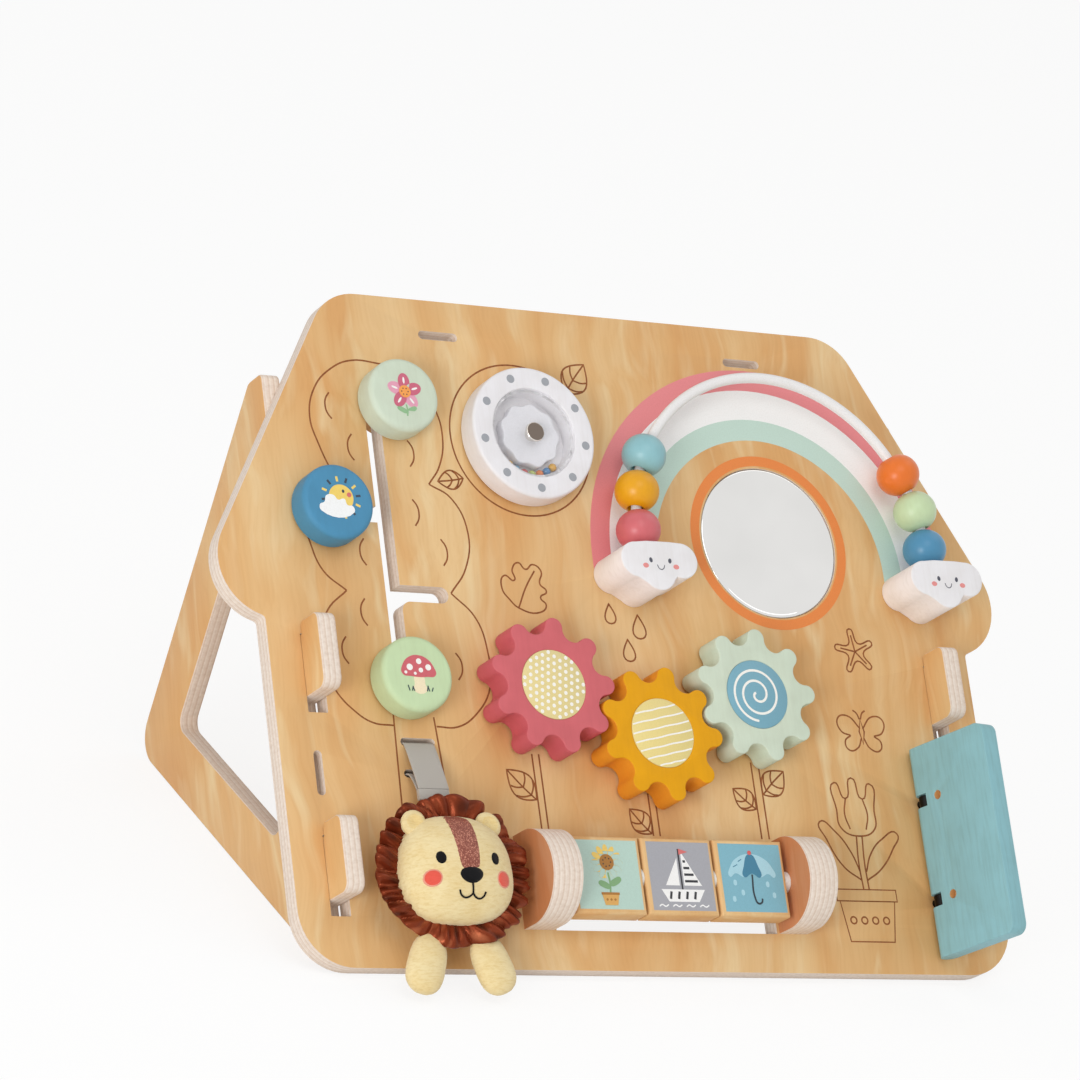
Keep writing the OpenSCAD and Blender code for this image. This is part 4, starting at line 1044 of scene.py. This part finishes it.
class BUSYBOARD_OT_gears(Maker, bpy.types.Operator):
    """Add the three meshing gears with their printed discs"""

    bl_idname = "busy_board.gears"
    bl_label = "Gears"

    def execute(self, context):
        c = colours()
        white = ink("#F7F4EC", 0.45)
        looks = {
            "left": ("rose_enamel", c.rose, "rose", "#CE626C", "#E4D293", self.dots(white)),
            "middle": ("amber_enamel", c.amber, "amber", "#E9982A", "#E9D58A", self.stripes(white)),
            "right": ("mint_gear_enamel", c.mint, "mint", "#CFDFCC", "#76A9BB", self.spiral(white)),
        }
        section = [(0, 0), (16.05, 0), (16.05, 0.8), (15.9, 0.9), (0, 0.9)]
        for name, (top, tone, flank, side_light_code, disc_code, marks) in looks.items():
            body = name + "_gear"
            # Painted light: the side walls get their own copy of the enamel, retinted for the shade and
            # coloured bounce light on them.
            paints = paint(top, tone), paint(flank + "_enamel_side_painted_light", linear(side_light_code))
            edge = sizes().paint_edge
            dress(body, body + "_block", edge, paints, second=lambda f: f.normal.dot(NORMAL) < 0.35)
            place = on_board(*GEARS[name], GEAR_DISC_Z)
            disc = turned(body + "_face", section, place, ink(disc_code, 0.45), steps=96)
            fit(disc, body, body + "_disc")
            fit(draw(body + "_print", marks, on_board(*GEARS[name], GEAR_TOP)), body)
        return {"FINISHED"}

    @staticmethod
    def dots(white, pitch=3.5):
        marks = []
        for row in range(-6, 7):
            for column in range(-6, 7):
                a, b = (column + 0.5 * (row % 2)) * pitch, row * pitch * 0.8
                if math.hypot(a, b) < 15.2:
                    marks.append(fill(white, 0, moved(ellipse(a, b, 0.88, n=12), 0, 0, 24)))
        return marks

    @staticmethod
    def stripes(white):
        marks = []
        for b in (-14, -9.9, -5.8, -1.6, 2.6, 6.9, 11.2):
            half = math.sqrt(15.7**2 - b * b)
            waved = [(-half + 2 * half * k / 5, b + (0.12 if k % 2 else -0.08)) for k in range(6)]
            marks.append(line(white, 0, moved(waved, 0, 0, 13), 0.75))
        return marks

    @staticmethod
    def spiral(white, steps=80):
        turns = [k / steps for k in range(steps + 1)]
        return [line(white, 0, [polar(12.7 - 11.8 * t**1.35, -95 - 846 * t) for t in turns], 1.15)]


class BUSYBOARD_OT_tiles(Maker, bpy.types.Operator):
    """Add the turning tiles, their printed faces and the two plywood cheeks"""

    bl_idname = "busy_board.tiles"
    bl_label = "Turning Tiles"

    def execute(self, context):
        wood = veneer("tile_wood", seed=7.0)
        panels = {"left": "#B7D2C6", "middle": "#A6A6AC", "right": "#7FB4C4"}
        motifs = {"left": self.sunflower(), "middle": self.boat(), "right": self.umbrella()}
        square = [(a * TILE_FACE[0], b * TILE_FACE[1]) for a, b in ((-1, -1), (1, -1), (1, 1), (-1, 1))]
        grid = [(a * 6 + (b % 2) * 3 - 1.5, b * 6) for a in range(-2, 3) for b in range(-2, 3)]
        for name, place in TILE_PLACES.items():
            body = name + "_tile"
            dress(body, body + "_block", 0.8 * MM, (wood,), angle=50)
            x = TILE_X + place * TILE_PITCH
            panel = [fill(ink(panels[name]), 0, square, smooth=False)]
            motif = [(tone, layer + 1, *rest) for tone, layer, *rest in motifs[name]]
            fit(draw(body + "_print", panel + motif, on_board(x, TILE_Y, TILE_Z + TILE_HALF)), body)
            flipped = on_board(x, TILE_Y, TILE_Z - TILE_HALF) @ Matrix.Rotation(math.pi, 4, "X")
            fit(draw(body + "_back_print", panel + spots(ink("#F4F2EE"), 1, grid, 1.1, 14), flipped), body)
        cheek_wood = veneer("stained_poplar_veneer", "#E6C0BE", seed=11.0)
        for side, sign in SIDES.items():
            cheek = side + "_cheek"
            left_face = TILE_X + sign * (CHEEK_INNER + CHEEK / 2) - CHEEK / 2
            woods = cheek_wood, ply_edge("plywood_edge_" + cheek, 0, left_face * MM, 1.25 * MM)
            dress(cheek, cheek + "_block", 0.9 * MM, woods, "board", side_face)
        return {"FINISHED"}

    @staticmethod
    def sunflower():
        """Sunflower in an ochre pot."""
        brown, green = ink("#A8722E"), ink("#7FA777")
        marks = []
        for a in range(0, 360, 30):
            x, y = polar(5.2, a)
            marks.append(fill(ink("#EFCB6A"), 1, ellipse(x, 5.6 + y, 2.9, 1.35, a, 16)))
        marks.append(fill(brown, 2, ellipse(0, 5.6, 3.6)))
        marks += spots(ink("#2E2A28"), 3, moved([polar(2, 51 * i) for i in range(7)], 0, 5.6), 0.34, 8)
        marks.append(line(green, 0, [(0, 1), (0.5, -4), (0, -9)], 0.9))
        marks.append(fill(green, 1, moved([(0, 0), (3, 1.9), (6.6, 1.2), (4, -1)], 0.3, -4.6, 18)))
        marks.append(fill(green, 1, moved([(0, 0), (3, 1.6), (6.2, 0.6), (3.6, -1.3)], 0.3, -6, 150)))
        pot = [(-4.4, -8.4), (4.4, -8.4), (3.2, -13.8), (-3.2, -13.8)]
        marks.append(fill(ink("#D9A65A"), 2, pot, smooth=False))
        marks.append(line(brown, 3, [(-4.6, -8.6), (4.6, -8.6)], 1.1, smooth=False))
        return marks + spots(brown, 3, [(x, -11.3) for x in (-2, 0, 2)], 0.55, 10)

    @staticmethod
    def boat():
        """Sailing boat with striped sails on small waves."""
        white, dark = ink("#F5F4F2"), ink("#26262B")
        marks = [fill(ink("#D66F6C"), 1, [(0.2, 12.6), (5, 11.2), (0.2, 9.8)], smooth=False)]
        for sail in (
            [(-11, -6), (11.5, -6), (8, -11.6), (-7.6, -11.6)],
            [(1.2, -4.2), (10.4, -4.2), (1.2, 11.4)],
            [(-1.2, -4.2), (-8.4, -4.2), (-1.2, 8.4)],
        ):
            marks.append(fill(white, 0, sail, smooth=False))
        marks.append(line(dark, 1, [(0, -6), (0, 12.5)], 0.8, smooth=False))
        for y in (-2.2, 0.8, 3.8, 6.8):
            reach = 1.2 + 9.2 * (11.4 - y) / 15.6 - 0.8
            marks.append(line(dark, 1, [(1.8, y), (reach, y)], 1.1, smooth=False))
        for x in (-6, -1.8, 2.4, 6.6):
            marks.append(line(dark, 1, [(x, -7), (x - 0.8, -10.4)], 1.2, smooth=False))
        wave = [(-2.6, -13.8), (-1.2, -13), (0.6, -13.8), (2.2, -13)]
        return marks + [line(white, 0, moved(wave, x, 0), 0.6) for x in (-10.5, -3.5, 3.5, 10.5)]

    @staticmethod
    def umbrella():
        """Two-tone umbrella in the rain."""
        light, deep = ink("#A9D3DF"), ink("#3F7F9B")
        dome = [(-12, 0.5), (-10.8, 5.4), (-6.6, 9.4), (0, 11), (6.6, 9.4), (10.8, 5.4), (12, 0.5)]
        dome += [(8.6, 2), (4.4, 0.4), (0, 2), (-4.4, 0.4), (-8.6, 2)]
        handle = [(0, 1.6), (0, -9.4), (1.2, -11.6), (3.2, -11.2), (3.8, -9.4)]
        marks = [
            fill(light, 0, dome),
            fill(deep, 1, [(-4.4, 0.4), (-3.8, 5.4), (0, 11), (3.8, 5.4), (4.4, 0.4), (0, 2)]),
            line(ink("#26333B"), 1, handle, 0.9),
            fill(ink("#D85F5C"), 2, ellipse(0, 11.6, 1, n=12)),
        ]
        rain = [(0, 2.6), (0.884, 0.65), (0, -0.13), (-0.884, 0.65)]
        for x, y in ((-9.5, -3.5), (-6, -8), (7.6, -4), (10.4, -9), (-11, -11)):
            marks.append(fill(light, 0, moved(rain, x, y)))
        for seam in ([(-9.6, 4.9), (-7.2, 6.0)], [(-6.6, 7.4), (-4.7, 8.5)]):
            marks.append(line(deep, 1, seam, 0.4, smooth=False))
        return marks


class BUSYBOARD_OT_arch(Maker, bpy.types.Operator):
    """Add the bead arch: white rod, two smiling clouds and six wooden beads"""

    bl_idname = "busy_board.arch"
    bl_label = "Bead Arch"

    def execute(self, context):
        points = [(ARCH_R, -26)] + arc(0, 0, ARCH_R, 0, 180, 72) + [(-ARCH_R, -26)]
        rod = swept("arch_rod_bar", traced(points, smooth=False), ROD_R, sides=5)
        wear(soften(rod), moulded("white_coated_rod", "#EFEDEC", 0.3))
        fit(settle(rod, on_board(*ARCH, ROD_Z)), "board", "arch_rod")
        self.clouds()
        self.beads()
        return {"FINISHED"}

    @staticmethod
    def clouds():
        face = paint("white_cloud_enamel", linear("#EFEDEF"))
        # The sides get a lighter, warmer copy of the white enamel: painted light that lifts the shaded sides,
        # with more grain showing through the thin paint.
        side = paint("thin_white_enamel_painted_side_light", linear("#F8F2F0"), grain=0.25)
        dark, rosy = ink("#4B4C58"), ink("#E58F8B")
        marks = [line(dark, 0, [(-1.9, 0.2), (-1.3, -1.3), (0, -2), (1.3, -1.3), (1.9, 0.2)], 0.42)]
        for sign in SIDES.values():
            marks.append(fill(dark, 0, ellipse(sign * 5, 2.3, 0.85, 1.2, -8 * sign, 16)))
            marks.append(fill(rosy, 0, ellipse(sign * 8, -0.4, 1.5, 1.15, 0, 16)))
        for name, sign in SIDES.items():
            cloud = name + "_cloud"
            paints = face, side
            dress(cloud, cloud + "_block", 0.8 * MM, paints, "board", lambda f: f.normal.dot(NORMAL) <= 0.5)
            x = ARCH[0] + sign * ARCH_R + 1.25
            fit(draw(cloud + "_face", marks, on_board(x, CLOUD_Y, CLOUD_TOP)), "board")

    @staticmethod
    def beads():
        """Turned balls with flattened ends and a softly rimmed bore, spaced along each side of the rod."""
        c = colours()
        paints = {
            "left_bead_top": ("sky_blue_bead", c.sky),
            "left_bead_middle": ("amber_bead", c.amber),
            "left_bead_low": ("rose_bead", c.rose),
            "right_bead_top": ("orange_bead", c.orange),
            "right_bead_middle": ("leaf_green_bead", c.leaf),
            "right_bead_low": ("sea_blue_bead", c.sea),
        }
        angles = {"low": 180.72, "middle": 166.89, "top": 153.06}
        rim, end = (BEAD_HOLE_R - 0.2, BEAD_END - 1), (BEAD_HOLE_R, BEAD_END)
        section = [(rim[0], -rim[1]), (end[0], -end[1])] + arc(0.8, 0, BEAD_R, -70, 70, 20) + [end, rim]
        first = turned("bead", section, Matrix.Identity(4))
        for bead, (name, coat) in zip(twins(first, [n + "_ball" for n in paints]), paints.items()):
            wear(bead, paint(*coat, roughness=0.33, gloss=0.4))
            a = angles[name.split("_")[-1]]
            out = Matrix.Translation((ARCH_R * MM, 0, 0)) @ Matrix.Rotation(math.pi / 2, 4, "X")
            settle(bead, on_board(*ARCH, ROD_Z, a if name.startswith("left") else 180 - a) @ out)
            fit(bead, name, name)


class BUSYBOARD_OT_door(Maker, bpy.types.Operator):
    """Add the painted door, with bare wood in its two blind holes"""

    bl_idname = "busy_board.door"
    bl_label = "Door"

    def execute(self, context):
        hinge = BOARD @ (Vector(DOOR_HINGE) * MM)
        turn = BOARD.to_3x3() @ Matrix.Rotation(math.radians(DOOR_TURN), 3, "Y")
        across, out = turn @ Vector((1, 0, 0)), turn @ Vector((0, 0, 1))

        def in_hole(face):
            spot = (face.center - hinge) / MM
            reach = min(math.hypot(spot.dot(across) - DOOR_HOLE_IN, spot.dot(UP) - y) for y in DOOR_HOLES)
            return reach < DOOR_HOLE_R and 0 < spot.dot(out) < DOOR_HOLE_DEPTH

        paints = paint("sky_blue_enamel", colours().sky, grain=0.4), veneer("bare_poplar", seed=9.0)
        dress("door", "door_panel", 1.1 * MM, paints, second=in_hole)
        return {"FINISHED"}


def stuffed(piece, voxel, pressure, cap, levels=1):
    """Remeshes a closed skin evenly, swells it as stuffed cloth and keeps the result. Sizes are in mm."""
    enlarged = 10  # cloth behaves best near half a metre across
    settle(piece, Matrix.Scale(enlarged, 4))
    add_modifier(piece, "REMESH", mode="VOXEL", voxel_size=voxel * MM * enlarged)
    start_points = [vertex.co.copy() for vertex in piece.data.vertices]
    only(piece)
    cloth = piece.modifiers.new("Cloth", "CLOTH")
    cloth.settings.quality = 5
    cloth.settings.use_pressure = True
    cloth.settings.uniform_pressure_force = pressure
    cloth.settings.effector_weights.gravity = 0
    for step in range(1, 21):
        bpy.context.scene.frame_set(step)
    bpy.ops.object.modifier_apply(modifier=cloth.name)
    bpy.context.scene.frame_set(1)
    most = cap * MM * enlarged
    for vertex, old in zip(piece.data.vertices, start_points):
        move = vertex.co - old
        if move.length > most:
            vertex.co = old + move * (most / move.length)
    settle(piece, Matrix.Scale(1 / enlarged, 4))
    add_modifier(piece, "SUBSURF", levels=levels)
    return piece


def nap(piece, depth):
    """Roughens a plush skin with the clumps of its pile. The depth is in millimetres."""
    only(piece)
    normals = [vertex.normal.copy() for vertex in piece.data.vertices]
    for vertex, normal in zip(piece.data.vertices, normals):
        x, y, z = vertex.co
        tuft = noise.noise((x * 450, y * 1300, z * 900)) + 0.6 * noise.noise(vertex.co * 2100)
        vertex.co += normal * depth * MM * tuft
    return soften(piece)


class BUSYBOARD_OT_lion(Maker, bpy.types.Operator):
    """Add the plush lion with its gathered satin mane, and the ribbon that it hangs on"""

    bl_idname = "busy_board.lion"
    bl_label = "Plush Lion"

    def execute(self, context):
        pile = plush("cream_velour", colours().plush)
        head = wear(self.head(), pile)
        self.mane()
        self.ears(pile)
        self.feet(pile)
        self.face(head)
        self.on_lion(head, "lion_head")
        self.ribbon()
        return {"FINISHED"}

    @staticmethod
    def on_lion(piece, *nodes):
        return fit(settle(piece, on_board(*LION)), "lion", *nodes)

    @staticmethod
    def head():
        """Broad cheeks, a flatter brow and a slightly flattened back, round the board's normal."""

        def shape(x, y, z):
            flat = math.hypot(x, y)
            if flat > 1e-6:
                square = (abs(x / flat) ** 2.55 + abs(y / flat) ** 2.55) ** (-1 / 2.55)
                x, y = x * square, y * square
            x *= 27.4 * (1 - 0.06 * y - 0.03 * y * y)
            y *= 24.0
            return x, y - 0.2, 17.1 + z * (15.6 if z > 0 else 14.8)

        head = shaped(ball("lion_head_plush", 64, 40), shape)
        return nap(stuffed(head, 1.3, 3.0, 1.0, levels=2), 0.075)

    def mane(self):
        """A strip of satin folded lengthwise and gathered into a ring behind the head, with painted light on
        its folds.
        """
        ring = grid("lion_mane_ruffle", 720, 26, 1)
        painted_fold_light = ring.data.attributes.new("painted_fold_light", "FLOAT", "POINT")
        sin, cos = math.sin, math.cos
        for vertex, painted_light_value in zip(ring.data.vertices, painted_fold_light.data):
            a = math.tau * (vertex.co.x + 0.5)
            turn = 0.93 * math.tau * vertex.co.y
            out, face = 0.5 * (1 + cos(turn)), sin(turn)
            lean = a + 0.2 * out * sin(2 * a + 0.7) + 0.05 * out * sin(7 * a)
            wide = 8 * lean + 1.3 * sin(2 * a) + 0.7 * sin(5 * a + 1)
            puff = abs(sin(wide)) ** 0.7 + 0.35 * abs(sin(13 * lean + 1.6 * sin(3 * a + 2)))
            narrow = 21 * lean + 2.2 * sin(3 * a) + 1.4 * out
            pleat = abs(sin(narrow)) ** 0.9
            tight = abs(sin(30 * lean + 1.4 * sin(2 * a)))
            swing = 0.55 * sin(5 * a + 0.6) + 0.45 * sin(3 * a - 1.1)
            reach = 1 + 0.075 * (puff - 0.8) + 0.012 * (pleat - 0.5)
            rx = 23.6 + (37.0 * reach - 23.6) * out
            ry = 20.6 + (33.2 * reach - 20.6) * out
            rise = out * (3.9 * (puff - 0.8) + 1.4 * swing) + sin(math.pi * out) * 1.3 * (pleat - 0.6)
            rise += (1 - out) * 1.0 * (tight - 0.6)
            # Painted light: a value per vertex that the satin turns into painted highlights on the crests of
            # the folds and painted shade in their valleys.
            crest_highlight_phase = 0.6 * sin(2 * wide + 0.8) + 0.5 * sin(2 * narrow + 1.2)
            painted_light_value.value = 0.5 + 0.34 * (crest_highlight_phase + 0.35 * sin(3 * math.pi * out + 4 * a))
            depth = 15.6 + rise + face * (0.7 + 2.2 * out * puff)
            vertex.co = (rx * cos(a) * MM, ry * sin(a) * MM, depth * MM)
        satin = satin_cloth("brown_polyester_satin", colours().satin)
        self.on_lion(wear(soften(weld(ring)), satin), "lion_mane")

    @staticmethod
    def ears(pile):
        inner = plush("yellow_velour", linear("#EBD398"))

        def shape(x, y, z):
            hollow = 1.7 * math.exp(-(x * x + (y - 0.1) ** 2) * 3.2) if z > 0 else 0
            return x * 6.2, y * 5.6, z * 3.2 - hollow

        def in_hollow(face):
            x, y, _ = face.center / MM
            return face.normal.z > 0.2 and math.hypot(x / 3.9, y / 3.4) < 1

        for name, side in SIDES.items():
            ear = shaped(ball(f"lion_{name}_ear", 40, 24), shape)
            settle(ear, Matrix.Rotation(math.radians(-side * 34), 4, "Z"))
            add_modifier(ear, "SUBSURF", levels=1)
            two_tone(wear(nap(ear, 0.09), pile, inner), in_hollow)
            settle(ear, on_board(LION[0] + side * 18.4, LION[1] + 20.0, 19.4))
            fit(ear, "lion", "lion_ears")

    @staticmethod
    def feet(pile):
        def shape(x, y, z):
            """A long pad, round across and flatter toward its free end."""
            round_out = max(1e-6, math.hypot(x, z))
            width = (1 - min(1, abs(y)) ** 3.0) ** (1 / 2.2) * (1 - 0.07 * y)
            thick = 5.6 if y < 0.3 else 5.6 - 2 * (y - 0.3)
            return x / round_out * width * 8.9, y * 13.9, z / round_out * width * thick

        for name, side in SIDES.items():
            foot = settle(ball(f"lion_{name}_foot", 40, 32), Matrix.Rotation(math.pi / 2, 4, "X"))
            shaped(foot, shape)
            wear(nap(stuffed(foot, 1.1, 3.0, 0.7), 0.08), pile)
            settle(foot, on_board(LION[0] + side * 16, LION[1] - 39.8, 13.0, side * 20))
            fit(foot, "lion", "lion_feet")

    def face(self, head):
        """Embroidered eyes, nose and mouth, two felt cheeks and a strip of glitter cloth down the brow."""
        black = embroidery("black_rayon_thread", "#0E0D10")

        def over(x, y, lift):
            """The height of a spot this far above the head."""
            hit, place, _, _ = head.ray_cast(Vector((x * MM, y * MM, 0.06)), Vector((0, 0, -1)))
            return (place.z / MM if hit else 17.0) + lift

        def patch(name, material, lift, shape, across=10, along=10):
            """A grid of cloth laid on the head. The shape maps -1..1 both ways to millimetres."""
            piece = grid(name, across, along)
            for vertex in piece.data.vertices:
                u, v, _ = vertex.co
                x, y = shape(u, v)
                edge = math.sqrt(max(0, u * u + v * v - u * u * v * v))
                height = over(x, y, lift * (1 - edge**6) - 0.15 * edge**6)
                vertex.co = (x * MM, y * MM, height * MM)
            self.on_lion(wear(soften(piece), material))

        def oval(cx, cy, rx, ry, turn=0.0, squash=0.0):
            def shape(u, v):
                x, y = u * math.sqrt(1 - v * v / 2) * rx, v * math.sqrt(1 - u * u / 2) * ry
                return moved([(x * (1 + squash * y / ry), y)], cx, cy, turn)[0]

            return shape

        for name, side in SIDES.items():
            patch(f"lion_{name}_eye", black, 0.55, oval(side * 13.2, 1.8, 2.3, 2.9, side * -6))
            halo = embroidery("rose_stitching_" + name, "#F0A58E", 0.5)
            patch(f"lion_{name}_cheek_halo", halo, 0.25, oval(side * 17.3, -6.8, 4.3, 4.1), 14, 14)
            coral = plush("coral_velour_" + name, linear("#E4584A"))
            patch(f"lion_{name}_cheek", coral, 0.5, oval(side * 17.3, -6.8, 3.7, 3.5), 14, 14)
        patch("lion_nose", black, 0.9, oval(0.0, -6.0, 5.7, 3.6, 0, 0.16), 16, 12)

        def stripe(u, v):
            return -0.3 + (5.9 + 0.8 * v) * u, 9.9 + 14.3 * v

        patch("lion_brow_stripe", glitter_cloth("glitter_knit", "#84402F"), 0.45, stripe, 10, 28)
        mouth = (
            [(0.1, -9.0), (0.4, -11.4), (0.6, -13.6)],
            [(-5.9, -12.2), (-5.2, -14.0), (-3.4, -15.2), (-1.2, -14.9), (0.6, -13.6)],
            [(0.6, -13.6), (2.0, -15.0), (3.9, -15.6), (5.8, -14.8), (6.9, -12.9)],
        )
        for i, points in enumerate(mouth):
            points = [(x, y, over(x, y, 0.2)) for x, y in points]
            thread = swept(f"lion_mouth_{i + 1}", traced(points), 0.42, sides=2, steps=12)
            self.on_lion(wear(soften(thread), black))

    @staticmethod
    def ribbon():
        """One length of woven ribbon through the two slots, both ends sewn to the tab behind the head."""
        route = [Vector((0, y, z)) for y, z in RIBBON_ROUTE]
        for _ in range(3):
            cut_corners = [route[0]]
            for a, b in zip(route, route[1:]):
                cut_corners += [a.lerp(b, 0.25), a.lerp(b, 0.75)]
            route = cut_corners + [route[-1]]
        last = len(route) - 1

        def along_route(x, y, z):
            return x * RIBBON_W / 2, *route[round((y + 1) / 2 * last)].yz

        loop = shaped(grid("ribbon_strap", 8, last), along_route)
        add_modifier(loop, "SOLIDIFY", thickness=0.6 * MM, offset=0)
        grey = ribbed("grey_woven_ribbon", "#BFBAB2")
        wear(soften(loop, 0.12 * MM, 2), grey)
        settle(loop, on_board(LION[0]))
        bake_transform(loop)
        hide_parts("ribbon_loop")

        tab = start("ribbon_sewn_end", bpy.ops.mesh.primitive_cube_add, size=1)
        size = Matrix.Diagonal((RIBBON_W * MM, 5.0 * MM, 2.4 * MM, 1))
        settle(tab, on_board(LION[0], 75.0, 7.9) @ size)
        fit(wear(soften(tab, 0.25 * MM, 2), grey), "ribbon_tab", "ribbon_tab")


class BUSYBOARD_OT_fasteners(Maker, bpy.types.Operator):
    """Give the screws, nuts, washers, axles, keepers and hinge parts their finishes"""

    bl_idname = "busy_board.fasteners"
    bl_label = "Fasteners"

    def execute(self, context):
        finishes = {
            "": metal("zinc_plated_steel", "#BDBDBA", 0.35),
            "hinge_": metal("black_oxide_steel", "#2A2928", 0.45),
            "washer": moulded("white_nylon", "#E9E8E4", 0.45),
            "keeper": veneer("turned_beech", "#F6EDE2", seed=5.0),
        }
        for name, piece in frame["nodes"].items():
            if not piece.hide_render:
                wear(piece, [material for word, material in finishes.items() if word in name][-1])
        return {"FINISHED"}


class BUSYBOARD_PT_panel(bpy.types.Panel):
    """Lists the pieces of the busy board"""

    bl_idname = "BUSYBOARD_PT_panel"
    bl_label = "Busy Board"
    bl_space_type = "VIEW_3D"
    bl_region_type = "UI"
    bl_category = "Busy Board"

    def draw(self, context):
        for group in (context.scene.busy_board_sizes, context.scene.busy_board_colours):
            box = self.layout.box()
            for name in group.__annotations__:
                box.prop(group, name)
        for operator in OPERATORS:
            self.layout.operator(operator.bl_idname)


OPERATORS = (
    BUSYBOARD_OT_stage,
    BUSYBOARD_OT_board,
    BUSYBOARD_OT_engraving,
    BUSYBOARD_OT_paint,
    BUSYBOARD_OT_knobs,
    BUSYBOARD_OT_wheel,
    BUSYBOARD_OT_gears,
    BUSYBOARD_OT_tiles,
    BUSYBOARD_OT_arch,
    BUSYBOARD_OT_door,
    BUSYBOARD_OT_lion,
    BUSYBOARD_OT_fasteners,
)
CLASSES = (BusyBoardSizes, BusyBoardColours, *OPERATORS, BUSYBOARD_PT_panel)


def register():
    for made in CLASSES:
        bpy.utils.register_class(made)
    bpy.types.Scene.busy_board_sizes = PointerProperty(type=BusyBoardSizes)
    bpy.types.Scene.busy_board_colours = PointerProperty(type=BusyBoardColours)


def unregister():
    del bpy.types.Scene.busy_board_colours
    del bpy.types.Scene.busy_board_sizes
    for made in reversed(CLASSES):
        bpy.utils.unregister_class(made)


def main():
    register()
    for operator in OPERATORS:
        module, name = operator.bl_idname.split(".")
        getattr(getattr(bpy.ops, module), name)()
    clear()


if __name__ == "__main__":
    main()
